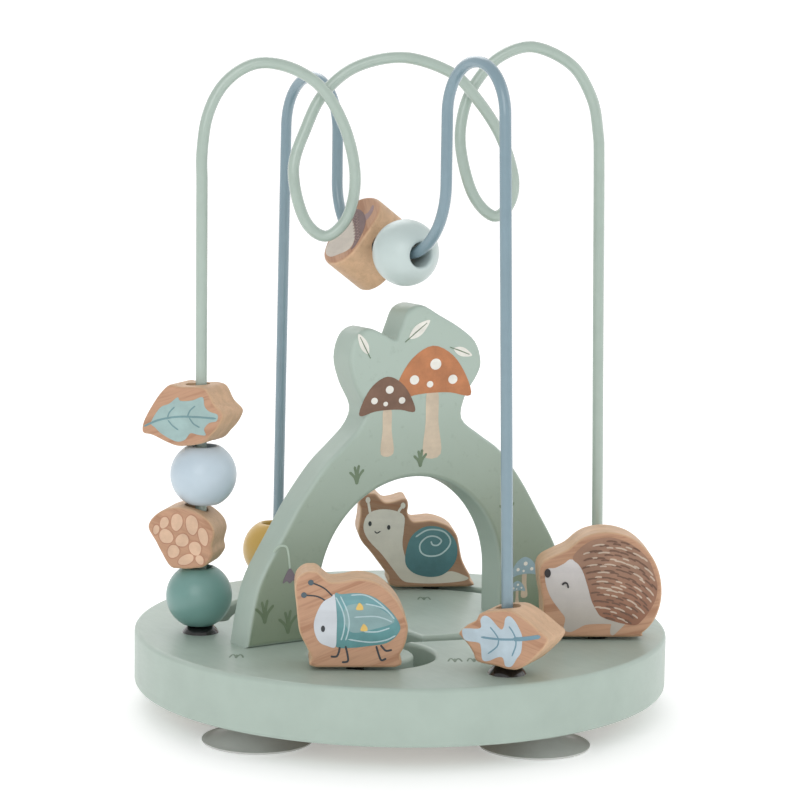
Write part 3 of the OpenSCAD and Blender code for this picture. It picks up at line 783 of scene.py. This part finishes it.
class ArchOperator(bpy.types.Operator):
    """Arch board with rounded edges, its print and its dowels"""

    bl_idname = "maze.arch"
    bl_label = "Arch board"

    BLADES = ((-0.75, 0.68), (-0.25, 0.95), (0.2, 1.0), (0.7, 0.75))
    STEM = ((-0.09, 0), (-0.07, 0.3), (-0.06, 0.58), (0.06, 0.58), (0.07, 0.3), (0.1, 0))
    CAP = ((-0.42, 0.52), (-0.37, 0.7), (-0.22, 0.9), (0, 1), (0.22, 0.9), (0.37, 0.7), (0.42, 0.52),
           (0.2, 0.56), (0, 0.57), (-0.2, 0.56))
    SPOTS = ((-0.2, 0.7, 0.05), (0.03, 0.83, 0.06), (0.22, 0.68, 0.05), (-0.03, 0.65, 0.035))
    LEAF = ((0, 0), (0.28, 0.17), (0.62, 0.17), (1, 0), (0.62, -0.17), (0.28, -0.17))
    RIB = ((-0.2, 0), (0.3, 0.01), (0.85, 0))
    BELL = ((0, 0.2), (-0.35, -0.25), (-0.6, -0.85), (-0.25, -0.72), (0, -0.92), (0.25, -0.72),
            (0.6, -0.85), (0.35, -0.25))
    BELL_STALK = ((-0.423, 0.285), (-0.408, 0.3), (-0.389, 0.299), (-0.381, 0.281), (-0.375, 0.229))
    BELL_PLACE, BELL_SIZE = (-0.375, 0.222), 4.5 * MM
    TUFTS = ((-0.176, 0.465, 6.5), (-0.448, 0.07, 8), (-0.379, 0.03, 8), (0.302, 0.31, 7), (0.02, 0.5, 6))

    def execute(self, context):
        s = sizes()
        face = standing("arch", 0)
        board = slab("painted_arch", face.loops[:1], face.lo.z, face.hi.z, s.arch_edge_r, face.matrix())
        soften(board)
        finish_piece(board, STAND, "arch_paint", arch_print("arch_paint", face), "arch")
        for node in ("arch_dowel_left", "arch_dowel_right"):
            cad_finish(node, wood("dowel_wood", grain_turn=0, seed=3))
        self.decorate(Drawing(face))
        return {"FINISHED"}

    def decorate(self, d):
        """Plants on the front. Places across are shares of the board's width from its middle."""
        grass = ink("arch_grass", srgb(108, 128, 102))
        pale = ink("arch_pale", srgb(186, 204, 190))
        blue = ink("arch_blue", srgb(150, 178, 190))
        white = ink("arch_white", srgb(236, 234, 226))
        rust = ink("arch_rust", srgb(184, 120, 78), 0.2)
        brown = ink("arch_brown", srgb(122, 92, 74), 0.2)
        stem = ink("arch_stem", srgb(206, 190, 168), 0.12)
        violet = ink("arch_violet", srgb(122, 114, 124), 0.15)

        def at(x, y):
            return d.face.spot(0.5 + x, y)

        def sized(foot, points, size, turn=0):
            spin = Matrix.Rotation(math.radians(turn), 2)
            return [foot + spin @ Vector(q) * size for q in points]

        for x, y, h, cap in ((0.055, 0.535, 37, rust), (-0.085, 0.55, 26, brown),
                             (0.364, 0.05, 14, blue), (0.341, 0.03, 8, blue)):
            foot, size = at(x, y), h * MM
            d.add(stem, 0, ring_curve(sized(foot, self.STEM, size), 4))
            d.add(cap, 1, ring_curve(sized(foot, self.CAP, size), 4))
            for across, up, r in self.SPOTS:
                q = foot + Vector((across, up)) * size
                d.add(white, 2, dot(q.x, q.y, r * size, 0.85))
        for x, y, h in self.TUFTS:
            for lean, tall in self.BLADES:
                blade = ((0, 0), (lean * 0.18, tall * 0.55), (lean * 0.6, tall))
                d.add(grass, 0, stroke(open_curve(sized(at(x, y), blade, h * MM), 5), 0.9 * MM, 0.15))
        for x, y, length_mm, turn in ((-0.02, 0.9, 10, 35), (0.12, 0.86, 8, -20), (-0.145, 0.86, 8, 120)):
            foot, size = at(x, y), length_mm * MM
            d.add(white, 0, ring_curve(sized(foot, self.LEAF, size, turn), 4))
            d.add(grass, 1, stroke(sized(foot, self.RIB, size, turn), 0.4 * MM))
        stalk = [at(*q) for q in self.BELL_STALK]
        d.add(pale, 0, stroke(open_curve(stalk, 5), 0.7 * MM))
        d.add(violet, 1, ring_curve(sized(at(*self.BELL_PLACE), self.BELL, self.BELL_SIZE), 4))
        d.finish("arch_print", STAND)


class WiresOperator(bpy.types.Operator):
    """The two coated wires and the plugs round their feet"""

    bl_idname = "maze.wires"
    bl_label = "Wires"

    LOOP_TURN = -20.0
    DIP_TURN = 88.2
    LOOP_STEPS, BEND_STEPS, DOME_STEPS = 10, 40, 12
    PLUG_CLEAR = 0.1 * MM
    PLUG_LIP_W, PLUG_LIP_H = 0.3 * MM, 0.3 * MM
    PLUG_LIP_MID = (0.1 * MM, 0.08 * MM)
    LOOP_SHARES = (
        (0, 0, 0.775), (0, 0, 0.82), (0.012, 0, 0.878), (0.044, 0, 0.926), (0.094, -0.2, 0.958),
        (0.152, -0.4, 0.969), (0.228, -0.7, 0.955), (0.292, -0.9, 0.92), (0.344, -0.8, 0.853),
        (0.367, -0.6, 0.776), (0.35, -0.3, 0.71), (0.299, 0, 0.678), (0.248, 0.3, 0.708),
        (0.223, 0.6, 0.789), (0.254, 0.8, 0.86), (0.297, 0.9, 0.918), (0.373, 0.6, 0.963),
        (0.485, 0, 0.98), (0.598, -0.6, 0.956), (0.657, -0.9, 0.916), (0.722, -0.8, 0.851),
        (0.759, -0.6, 0.779), (0.754, -0.2, 0.733), (0.716, 0, 0.711), (0.665, 0.3, 0.748),
        (0.635, 0.6, 0.826), (0.641, 0.8, 0.887), (0.671, 0.9, 0.937), (0.728, 0.6, 0.982),
        (0.809, 0.2, 1), (0.905, 0, 0.97), (0.958, 0, 0.914), (0.976, 0, 0.856), (0.981, 0, 0.795),
        (0.988, 0, 0.55), (0.997, 0, 0.25), (1, 0, 0.12), (1, 0, 0.05), (1, 0, 0.02))
    FRONT_LEAN_SHARE, BACK_LEAN_SHARE = 0.047, 0.0276
    FRONT_STRAND_SHARE, BACK_STRAND_SHARE = 0.269, 0.7315

    def execute(self, context):
        self.loop_wire(sizes(), colours())
        self.dip_wire(sizes(), colours())
        self.plugs(sizes(), colours())
        return {"FINISHED"}

    def placed(self, plug, turn):
        foot = middle(plug)
        spin = Matrix.Rotation(math.radians(turn), 4, "Z")
        return Matrix.Translation((foot.x, foot.y, top_z())) @ spin

    def loop_wire(self, s, c):
        down = Vector((0, 0, -s.wire_depth))
        points = [(x * s.loop_span, y * s.wire_d, z * s.loop_h) for x, y, z in self.LOOP_SHARES]
        route = [down] + open_curve(points, self.LOOP_STEPS) + [Vector((s.loop_span, 0, 0)) + down]
        wire = rod("coated_loop_wire", route, s.wire_d / 2, self.placed("plug_left", self.LOOP_TURN))
        finish_piece(wire, STAND, "loop_coat", coated_wire("loop_coat", c.loop_green), "loop_wire")

    def dip_wire(self, s, c):
        down = Vector((0, 0, -s.wire_depth))
        span, low_h, n = s.dip_span, s.dip_low_h, self.BEND_STEPS
        front_lean, back_lean = span * self.FRONT_LEAN_SHARE, span * self.BACK_LEAN_SHARE
        front, back = span * self.FRONT_STRAND_SHARE, span * self.BACK_STRAND_SHARE
        front_r, back_r = (front - front_lean) / 2, (span - back_lean - back) / 2
        near_r, far_r = s.front_corner_r, s.back_corner_r
        route = [down, Vector((0, 0, s.dip_stub_h))]
        route += arc((front_lean + front_r, s.dip_front_h - front_r), front_r, 180, 0, n)
        route += arc((front + near_r, low_h + near_r), near_r, 180, 270, n)
        route += arc((back - far_r, low_h + far_r), far_r, 270, 360, n)
        route += arc((back + back_r, s.dip_back_h - back_r), back_r, 180, 0, n)
        route += [Vector((span, 0, s.dip_stub_h)), Vector((span, 0, 0)) + down]
        wire = rod("coated_dip_wire", route, s.wire_d / 2, self.placed("plug_front", self.DIP_TURN))
        finish_piece(wire, STAND, "dip_coat", coated_wire("dip_coat", c.dip_blue), "dip_wire")

    def plugs(self, s, c):
        black = gloss_plastic("plug_black", c.black)
        hole = s.wire_d / 2 + self.PLUG_CLEAR
        inner = hole + self.PLUG_LIP_W
        for node in ("plug_left", "plug_right", "plug_front", "plug_back"):
            lo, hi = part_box(node)
            r, h = (hi.x - lo.x) / 2, hi.z - lo.z
            dome_r = (r * r + h * h) / (2 * h)
            reach = [inner + (r - inner) * k / self.DOME_STEPS for k in range(self.DOME_STEPS + 1)]
            dome = [(x, math.sqrt(dome_r ** 2 - x * x) - dome_r + h) for x in reach]
            top = dome[0][1]
            across, under = self.PLUG_LIP_MID
            profile = [(hole, 0), (hole, top - self.PLUG_LIP_H), (hole + across, top - under)] + dome
            plug = turned("black_" + node, profile, Matrix.Translation((*middle(node).xy, lo.z)))
            finish_piece(plug, STAND, "plug_black", black, node)


class BallsOperator(bpy.types.Operator):
    """Painted ball beads with bores"""

    bl_idname = "maze.balls"
    bl_label = "Balls"

    STEPS = 40
    RIM_W = 0.3 * MM
    LIP_MM = ((0, -0.9), (0.12, -0.35), (0.5, 0.02), (0.95, 0.08))

    def execute(self, context):
        s, c = sizes(), colours()
        lying = Matrix.Rotation(math.pi / 2, 4, "Y")
        along_dip = Matrix.Rotation(math.radians(WiresOperator.DIP_TURN), 4, "Z") @ lying
        bore, rim = s.bore_d / 2, s.bore_rim_d / 2 + self.RIM_W
        for name, colour in (("teal", c.teal), ("sky", c.sky), ("yellow", c.yellow), ("mint", c.mint)):
            node = name + "_ball"
            lo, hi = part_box(node)
            r = max(hi - lo) / 2
            z = math.sqrt(r * r - rim * rim)
            lip = [(bore + x * MM, z + y * MM) for x, y in self.LIP_MM]
            first = math.asin(rim / r)
            turns = [first + (math.pi - 2 * first) * k / self.STEPS for k in range(self.STEPS + 1)]
            skin = [(r * math.sin(a), r * math.cos(a)) for a in turns]
            profile = lip + skin + [(x, -y) for x, y in reversed(lip)]
            turn = along_dip if name == "mint" else Matrix.Identity(4)
            ball = turned("painted_" + node, profile, Matrix.Translation(middle(node)) @ turn)
            paint = satin_paint(name + "_paint", colour, roughness=0.36, coat=0.25)
            finish_piece(ball, node, name + "_paint", paint, node)
        return {"FINISHED"}


class BeadsOperator(bpy.types.Operator):
    """Flat wooden beads: green leaf, blue leaf, pine cone and acorn, with their prints"""

    bl_idname = "maze.beads"
    bl_label = "Flat beads"

    BORE_REACH = 60 * MM

    def execute(self, context):
        s = sizes()
        prints = {"green_leaf": self.green_leaf, "blue_leaf": self.blue_leaf,
                  "pine_cone": self.pine_cone, "acorn": self.acorn}
        up, across = Vector((0, 1, 0)), Vector((1, 0, 0))
        upright = (0, "X")
        back_turn = WiresOperator.DIP_TURN + 180
        for node, turn, lean, slot, grain, seed, bore_share, way, bore in (
                ("green_leaf", -58, (-8.35, "Y"), "green_leaf_print", -12, 1, 0.617, up, s.bore_d),
                ("blue_leaf", -59.5, upright, "blue_leaf_print", 14, 2, 0.45, up, s.bore_d),
                ("pine_cone", -47, upright, "cone_print", 20, 3, 0.63, up, s.bore_d),
                ("acorn", back_turn, (-36, "X"), "acorn_print", 35, 4, 0.5, across, s.acorn_bore_d)):
            face = standing(node, turn, lean)
            place = face.matrix()
            q = face.spot(bore_share, 0.5)
            centre = Vector((q.x, q.y, (face.lo.z + face.hi.z) / 2))
            bead = slab("wooden_" + node, face.loops[:1], face.lo.z, face.hi.z, s.bead_edge_r, place)
            drill(bead, place @ centre, place.to_3x3() @ way, bore, self.BORE_REACH)
            soften(bead)
            finish_piece(bead, node, slot, wood(slot, face, grain, seed=seed), node)
            prints[node](Drawing(face, grain))
        return {"FINISHED"}

    def green_leaf(self, d):
        main = d.ink("green_leaf_ink", (156, 182, 180))
        vein = d.ink("green_leaf_vein", (112, 146, 150))
        d.ring(main, 0, ((0.13, 0.41), (0.19, 0.54), (0.28, 0.66), (0.38, 0.7), (0.49, 0.79),
            (0.52, 0.73), (0.66, 0.72), (0.79, 0.76), (0.8, 0.61), (0.85, 0.52), (0.94, 0.46),
            (0.92, 0.36), (0.83, 0.34), (0.76, 0.25), (0.77, 0.15), (0.67, 0.17), (0.59, 0.2),
            (0.51, 0.1), (0.4, 0.09), (0.25, 0.22), (0.17, 0.34)))
        midrib, *veins = (((0.04, 0.37), (0.22, 0.45), (0.45, 0.48), (0.69, 0.45), (0.92, 0.4)),
            ((0.33, 0.45), (0.37, 0.56), (0.44, 0.64)), ((0.34, 0.44), (0.39, 0.34), (0.45, 0.27)),
            ((0.58, 0.47), (0.62, 0.56), (0.69, 0.63)), ((0.6, 0.45), (0.64, 0.35), (0.71, 0.28)))
        d.line(vein, 1, midrib, 0.65, 0.4)
        for points in veins:
            d.line(vein, 1, points, 0.45, 0.4)
        d.finish("green_leaf_printed", "green_leaf")

    def blue_leaf(self, d):
        main = d.ink("blue_leaf_ink", (184, 200, 210))
        vein = d.ink("blue_leaf_vein", (112, 148, 164))
        d.ring(main, 0, ((0.05, 0.59), (0.1, 0.62), (0.25, 0.65), (0.25, 0.79), (0.29, 0.87),
            (0.36, 0.84), (0.47, 0.68), (0.51, 0.71), (0.53, 0.87), (0.58, 0.91), (0.65, 0.81),
            (0.71, 0.64), (0.72, 0.55), (0.71, 0.33), (0.66, 0.2), (0.61, 0.07), (0.54, 0.06),
            (0.51, 0.19), (0.45, 0.19), (0.35, 0.11), (0.28, 0.12), (0.26, 0.33), (0.23, 0.4),
            (0.09, 0.41), (0.05, 0.5)))
        for points, width in ((((0.26, 0.5), (0.46, 0.5), (0.64, 0.53)), 0.7),
                (((0.62, 0.53), (0.74, 0.56), (0.92, 0.63)), 1.3),
                (((0.36, 0.69), (0.42, 0.59), (0.46, 0.5)), 0.45),
                (((0.46, 0.49), (0.44, 0.37), (0.34, 0.23)), 0.45),
                (((0.57, 0.74), (0.62, 0.64), (0.65, 0.54)), 0.45),
                (((0.65, 0.53), (0.65, 0.42), (0.61, 0.24)), 0.45)):
            d.line(vein, 1, points, width, 0.4)
        d.finish("blue_leaf_printed", "blue_leaf")

    def pine_cone(self, d):
        """Scales with a dark edge: place, width, height and turn of each."""
        scale = d.ink("cone_scale", (214, 180, 152), 0.14)
        edge = d.ink("cone_edge", (178, 130, 104), 0.12)
        edge_mm = 0.7
        drop = ((-0.46, -0.05), (-0.4, 0.34), (-0.04, 0.52), (0.36, 0.36), (0.48, -0.02), (0.3, -0.36),
            (0.02, -0.52), (-0.3, -0.38))
        for x, y, w, h, turn in ((0.44, 0.76, 4.2, 5.6, -8), (0.67, 0.73, 4.4, 6.4, 6),
                (0.25, 0.74, 3.0, 4.0, -25), (0.84, 0.55, 3.4, 6.0, 14), (0.28, 0.52, 5.4, 4.4, -40),
                (0.52, 0.47, 4.4, 4.6, -60), (0.72, 0.35, 4.4, 4.6, 20), (0.39, 0.28, 4.2, 4.4, -30),
                (0.58, 0.16, 3.4, 5.6, -64), (0.79, 0.17, 2.8, 3.2, 30), (0.13, 0.62, 2.2, 3.2, -15)):
            spin = Matrix.Rotation(math.radians(turn), 2)
            for colour, more, layer in ((edge, edge_mm, 0), (scale, 0, 1)):
                size = Vector((w + more, h + more))
                points = [d.face.spot(x, y) + spin @ (Vector(q) * size) * MM for q in drop]
                d.add(colour, layer, ring_curve(points, 4))
        d.finish("cone_printed", "pine_cone")

    def acorn(self, d):
        nut = d.ink("acorn_nut", (206, 196, 184))
        cap = d.ink("acorn_cap", (122, 98, 96), 0.14)
        line = d.ink("acorn_line", (164, 140, 134))
        stem = d.ink("acorn_stem", (158, 132, 132))
        d.ring(nut, 0, ((0.23, 0.66), (0.17, 0.55), (0.14, 0.39), (0.13, 0.23), (0.24, 0.12),
            (0.42, 0.09), (0.59, 0.14), (0.77, 0.22), (0.8, 0.31), (0.72, 0.44), (0.57, 0.54),
            (0.37, 0.64)))
        d.ring(stem, 0, ((0.64, 0.73), (0.69, 0.78), (0.68, 0.88), (0.75, 0.86), (0.8, 0.76),
            (0.76, 0.66)))
        d.ring(cap, 1, ((0.2, 0.68), (0.19, 0.75), (0.32, 0.8), (0.53, 0.77), (0.73, 0.68), (0.84, 0.56),
            (0.89, 0.42), (0.9, 0.29), (0.84, 0.23), (0.81, 0.33), (0.71, 0.45), (0.53, 0.57),
            (0.35, 0.65)))
        rows, dash = 9, 1.2 * MM
        for k in range(rows):
            t = (k + 0.5) / rows
            low = d.face.spot(0.3 + 0.52 * t, 0.7 - 0.36 * t)
            high = d.face.spot(0.36 + 0.52 * t, 0.73 - 0.36 * t)
            for way in (Vector((0.5, 0.9)), Vector((1.0, 0.1))):
                for foot in (low, high):
                    d.add(line, 2, stroke([foot, foot + way * dash], 0.3 * MM))
        d.finish("acorn_printed", "acorn")


class FiguresOperator(bpy.types.Operator):
    """Wooden figures that run in the track: beetle, snail and hedgehog, with their prints"""

    bl_idname = "maze.figures"
    bl_label = "Figures"

    QUILLS = 150

    def execute(self, context):
        s, c = sizes(), colours()
        prints = {"beetle": self.beetle, "snail": self.snail, "hedgehog": self.hedgehog}
        black = gloss_plastic("sleeve_black", c.black)
        # the snail's face tone is tan darkened to 0.72: painted shadow of the arch over it
        for node, turn, grain, seed, tone in (
                ("beetle", -30.3, -22, 5, c.tan), ("snail", -27.8, 12, 6, shade(c.tan, 0.72)),
                ("hedgehog", -30.9, -8, 7, c.tan)):
            face = standing(node, turn)
            obj = slab("wooden_" + node, face.loops[:1], face.lo.z, face.hi.z, s.bead_edge_r, face.matrix())
            soften(obj)
            finish_piece(obj, node, "figure_wood", wood(node + "_wood", face, grain, tone, seed), node)
            prints[node](Drawing(face, grain))
            cad_finish(node + "_sleeve", black)
        return {"FINISHED"}

    def beetle(self, d):
        # the wing's foot colour is painted shade: the wing turns darker towards the bottom of the face
        wing = d.ink("beetle_wing", (108, 154, 160), 0.14, (76, 134, 134))
        sheen = d.ink("beetle_sheen", (134, 164, 166))
        pale = d.ink("beetle_pale", (176, 200, 204), 0.08)
        head = d.ink("beetle_head", (205, 210, 216), 0.05)
        dark = d.ink("beetle_dark", (54, 58, 62))
        tip = d.ink("beetle_tip", (76, 92, 100))
        gold = d.ink("beetle_gold", (222, 186, 104), 0.08)
        d.ring(wing, 0, ((0.36, 0.23), (0.36, 0.44), (0.35, 0.76), (0.41, 0.77), (0.57, 0.78),
            (0.71, 0.73), (0.85, 0.59), (0.93, 0.44), (0.9, 0.34), (0.81, 0.26), (0.66, 0.23),
            (0.5, 0.21)), 5)
        d.ring(sheen, 1, ((0.45, 0.64), (0.59, 0.67), (0.75, 0.62), (0.87, 0.51), (0.85, 0.46),
            (0.71, 0.41), (0.56, 0.37), (0.48, 0.39), (0.44, 0.5)), 5)
        d.ring(head, 2, ((0.36, 0.22), (0.37, 0.36), (0.37, 0.55), (0.35, 0.76), (0.32, 0.74),
            (0.25, 0.69), (0.2, 0.59), (0.17, 0.47), (0.18, 0.36), (0.22, 0.27), (0.29, 0.23)), 5)
        for points in (((0.36, 0.74), (0.42, 0.6), (0.44, 0.48), (0.43, 0.37), (0.41, 0.29)),
                ((0.4, 0.75), (0.46, 0.6), (0.48, 0.48), (0.47, 0.37), (0.45, 0.29))):
            d.line(pale, 2, points, 0.42, 0.3, 6)
        for points in (((0.49, 0.76), (0.62, 0.76), (0.75, 0.67), (0.87, 0.53)),
                ((0.62, 0.67), (0.71, 0.65), (0.8, 0.61), (0.88, 0.51)),
                ((0.52, 0.53), (0.69, 0.54), (0.78, 0.52), (0.86, 0.48)),
                ((0.61, 0.38), (0.73, 0.38), (0.84, 0.42)),
                ((0.47, 0.3), (0.66, 0.27), (0.8, 0.29), (0.89, 0.34))):
            d.line(pale, 2, points, 0.42, 0.1, 6)
        mark, mark_size = ((-0.9, -0.8), (0.85, -0.85), (0.9, 0.1), (0, 1.1), (-0.6, 0.4)), 1.15 * MM
        for place in ((0.57, 0.64), (0.61, 0.42)):
            d.add(gold, 3, ring_curve([d.face.spot(*place) + Vector(q) * mark_size for q in mark], 4))
        d.dot(dark, 3, 0.25, 0.41, 0.65, 1.6)
        for points in (((0.14, 0.89), (0.21, 0.86), (0.27, 0.82), (0.33, 0.75)),
                ((0.08, 0.76), (0.18, 0.75), (0.23, 0.73), (0.27, 0.7))):
            d.line(dark, 1, points, 0.45, 0.6, 6)
            d.dot(tip, 2, *points[0], 0.9)
        for points in (((0.4, 0.22), (0.39, 0.16), (0.37, 0.12), (0.32, 0.12)),
                ((0.45, 0.23), (0.47, 0.13), (0.47, 0.07), (0.42, 0.06)),
                ((0.72, 0.23), (0.75, 0.12), (0.77, 0.08), (0.81, 0.1)),
                ((0.76, 0.24), (0.78, 0.21), (0.81, 0.18), (0.86, 0.19))):
            d.line(dark, 0, points, 0.65, 0.5, 6)
        d.finish("beetle_printed", "beetle")

    def snail(self, d):
        # the body and shell foot colours are painted shade of the arch over the snail: both turn darker
        # towards the bottom
        body = d.ink("snail_body", (226, 222, 212), 0.06, (204, 198, 184))
        shell = d.ink("snail_shell", (98, 144, 150), 0.14, (66, 110, 116))
        pale = d.ink("snail_pale", (186, 208, 210), 0.08)
        dark = d.ink("snail_dark", (56, 60, 62))
        d.ring(body, 0, ((0.05, 0.6), (0.05, 0.7), (0.09, 0.79), (0.18, 0.83), (0.3, 0.82), (0.39, 0.76),
            (0.39, 0.62), (0.38, 0.45), (0.42, 0.28), (0.5, 0.14), (0.68, 0.13), (0.8, 0.17),
            (0.92, 0.12), (0.95, 0.09), (0.88, 0.06), (0.66, 0.04), (0.46, 0.05), (0.38, 0.08),
            (0.3, 0.2), (0.2, 0.36), (0.1, 0.49)))
        for points in (((0.1, 0.79), (0.09, 0.86), (0.08, 0.93)),
                ((0.34, 0.8), (0.36, 0.84), (0.38, 0.87))):
            d.line(body, 1, points, 0.9, steps=4)
            d.dot(body, 2, *points[-1], 0.85, 1.3)
        for place in ((0.1, 0.68), (0.26, 0.64)):
            d.dot(dark, 1, *place, 0.6, 1.5)
        d.line(dark, 1, ((0.14, 0.6), (0.16, 0.58), (0.19, 0.6)), 0.4, 0.3, 6)
        mid, shell_r = d.face.spot(0.63, 0.38), 9.3 * MM
        outline = ((-1.02, -0.38), (-0.98, 0.1), (-0.78, 0.62), (-0.35, 0.95), (0.12, 1.0), (0.6, 0.82),
            (0.93, 0.4), (1.0, -0.05), (0.88, -0.48), (0.5, -0.88), (0, -1.0), (-0.55, -0.9),
            (-0.88, -0.68))
        d.add(shell, 2, ring_curve([mid + Vector(q) * shell_r for q in outline], 5))
        spiral = ((-0.03, 0.41), (0.04, 0.27), (0.24, 0.26), (0.37, 0.44), (0.13, 0.6), (-0.19, 0.57),
            (-0.45, 0.3), (-0.41, -0.02), (-0.12, -0.17), (0.31, -0.12), (0.64, 0.16), (0.72, 0.46),
            (0.5, 0.76), (0.13, 0.87), (-0.24, 0.83), (-0.63, 0.58))
        d.add(pale, 3, stroke(open_curve([mid + Vector(q) * shell_r for q in spiral], 6), 0.55 * MM, 0.3))
        d.finish("snail_printed", "snail")

    def hedgehog(self, d):
        # the fur and coat foot colours are painted shade: both turn darker towards the bottom of the face
        fur = d.ink("hedgehog_fur", (212, 208, 208), 0.05, (178, 170, 160))
        coat = d.ink("hedgehog_coat", (156, 120, 98), 0.12, (144, 98, 74))
        dark = d.ink("hedgehog_dark", (112, 82, 66))
        pale = d.ink("hedgehog_pale", (198, 178, 160))
        black = d.ink("hedgehog_black", (46, 42, 44))
        d.ring(fur, 0, ((0.27, 0.74), (0.2, 0.7), (0.13, 0.66), (0.07, 0.65), (0.05, 0.57), (0.07, 0.46),
            (0.11, 0.36), (0.18, 0.25), (0.22, 0.18), (0.21, 0.08), (0.26, 0.05), (0.32, 0.08),
            (0.39, 0.12), (0.51, 0.13), (0.62, 0.13), (0.67, 0.16), (0.54, 0.33), (0.42, 0.61)))
        d.ring(fur, 0, ((0.61, 0.15), (0.59, 0.09), (0.59, 0.04), (0.61, 0.02), (0.65, 0.06), (0.7, 0.12),
            (0.71, 0.15)))
        d.ring(coat, 1, ((0.27, 0.75), (0.32, 0.84), (0.42, 0.92), (0.54, 0.95), (0.62, 0.94),
            (0.72, 0.9), (0.82, 0.82), (0.89, 0.73), (0.93, 0.62), (0.96, 0.5), (0.95, 0.37), (0.9, 0.25),
            (0.84, 0.16), (0.79, 0.12), (0.7, 0.13), (0.6, 0.16), (0.51, 0.2), (0.47, 0.26), (0.43, 0.35),
            (0.4, 0.47), (0.36, 0.61), (0.32, 0.69)))
        back = d.shapes[-1][2]
        golden = math.pi * (3 - math.sqrt(5))
        for k in range(self.QUILLS):
            r, a = math.sqrt((k + 0.5) / self.QUILLS), k * golden
            x, y = 0.63 + 0.34 * r * math.cos(a), 0.53 + 0.42 * r * math.sin(a)
            turn = math.radians(49.5 - 112 * x + 13 * y)
            half = (1.2 + 0.9 * (k * 7 % 5) / 4) * MM
            way = Vector((math.cos(turn), math.sin(turn))) * half
            bow = Vector((-way.y, way.x)) * 0.12
            mid = d.face.spot(x, y)
            line = [mid - way - bow, mid, mid + way - bow]
            if inside(line[0], back) and inside(line[2], back):
                colour = pale if k % 5 in (0, 2) else dark
                d.add(colour, 2, stroke(open_curve(line, 3), 0.5 * MM, 0.15))
        d.dot(black, 2, 0.07, 0.61, 1.05, 1.4)
        d.line(black, 2, ((0.19, 0.5), (0.21, 0.52), (0.23, 0.51), (0.24, 0.47)), 0.6, 0.2)
        d.finish("hedgehog_printed", "hedgehog")


class StageOperator(bpy.types.Operator):
    """Camera, floor and soft light"""

    bl_idname = "maze.stage"
    bl_label = "Stage"

    CAMERA_PLACE = Vector((-491.4, -742.5, 231.2)) * MM
    CAMERA_AIM = Vector((0, 0, 100)) * MM
    CAMERA_ROLL = 0.82
    CAMERA_LENS, CAMERA_SENSOR = 120.4, 36
    CAMERA_SHIFT = (-0.0041, 0.0144)
    CAMERA_NEAR = 0.01
    FLOOR_SIZE = 12
    FLOOR_PLACE = (0, 0, -0.0002)
    WALL_PLACE = (2.2, 3.35, 2)
    WORLD_LIGHT = 0.7
    LIGHT_AIM = Vector((0, 0, 0.1))
    LIGHTS = (("key_light", (-0.95, -0.9, 0.7), 0.9, 4.6), ("side_light", (0.95, -0.5, 0.6), 0.8, 1.5),
              ("back_light", (0.3, 1.0, 1.0), 0.8, 3))

    def execute(self, context):
        scene = context.scene
        self.camera(context)
        scene.view_settings.view_transform = "Standard"
        white = floor_white("floor_white")
        floor = self.plane(context, "pale_floor", self.FLOOR_PLACE, (0, 0, 0), white)
        upright = (math.pi / 2, 0, math.radians(PHOTO_TURN))
        wall = self.plane(context, "pale_wall", self.WALL_PLACE, upright, white)
        world = bpy.data.worlds.new("soft_white")
        scene.world = world
        world.use_nodes = True
        back = world.node_tree.nodes["Background"]
        back.inputs["Color"].default_value = (1, 1, 1, 1)
        back.inputs["Strength"].default_value = self.WORLD_LIGHT
        for name, place, size, power in self.LIGHTS:
            start()
            turn = (self.LIGHT_AIM - Vector(place)).to_track_quat("-Z", "Y").to_euler()
            bpy.ops.object.light_add(type="AREA", location=place, rotation=turn)
            light = context.view_layer.objects.active
            light.name = name
            light.data.size = size
            light.data.energy = power
        return {"FINISHED"}

    def camera(self, context):
        start()
        view = (self.CAMERA_AIM - self.CAMERA_PLACE).to_track_quat("-Z", "Y")
        turn = view @ Quaternion((0, 0, 1), math.radians(self.CAMERA_ROLL))
        bpy.ops.object.camera_add(location=self.CAMERA_PLACE, rotation=turn.to_euler())
        camera = context.view_layer.objects.active
        camera.name = "maze_camera"
        camera.data.lens = self.CAMERA_LENS
        camera.data.sensor_width = self.CAMERA_SENSOR
        camera.data.shift_x, camera.data.shift_y = self.CAMERA_SHIFT
        camera.data.clip_start = self.CAMERA_NEAR
        context.scene.camera = camera

    def plane(self, context, name, place, turn, material):
        start()
        bpy.ops.mesh.primitive_plane_add(size=self.FLOOR_SIZE, location=place, rotation=turn)
        obj = context.view_layer.objects.active
        obj.name = name
        obj.data.materials.append(material)
        return obj


class MazePanel(bpy.types.Panel):
    """Buttons that build the pieces"""

    bl_idname = "VIEW3D_PT_maze"
    bl_label = "Bead maze"
    bl_space_type = "VIEW_3D"
    bl_region_type = "UI"
    bl_category = "Bead maze"

    def draw(self, context):
        for operator in OPERATORS:
            self.layout.operator(operator.bl_idname)
        for group in (context.scene.maze_sizes, context.scene.maze_colours):
            for key in group.__annotations__:
                self.layout.prop(group, key)


OPERATORS = (BaseOperator, CupsOperator, ArchOperator, WiresOperator, BallsOperator, BeadsOperator,
             FiguresOperator, StageOperator)
CLASSES = (MazeSizes, MazeColours, *OPERATORS, MazePanel)


def register():
    for cls in CLASSES:
        bpy.utils.register_class(cls)
    bpy.types.Scene.maze_sizes = PointerProperty(type=MazeSizes)
    bpy.types.Scene.maze_colours = PointerProperty(type=MazeColours)


def unregister():
    del bpy.types.Scene.maze_colours
    del bpy.types.Scene.maze_sizes
    for cls in reversed(CLASSES):
        bpy.utils.unregister_class(cls)


def main():
    register()
    bpy.ops.maze.base()
    bpy.ops.maze.cups()
    bpy.ops.maze.arch()
    bpy.ops.maze.wires()
    bpy.ops.maze.balls()
    bpy.ops.maze.beads()
    bpy.ops.maze.figures()
    bpy.ops.maze.stage()
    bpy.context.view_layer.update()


if __name__ == "__main__":
    main()
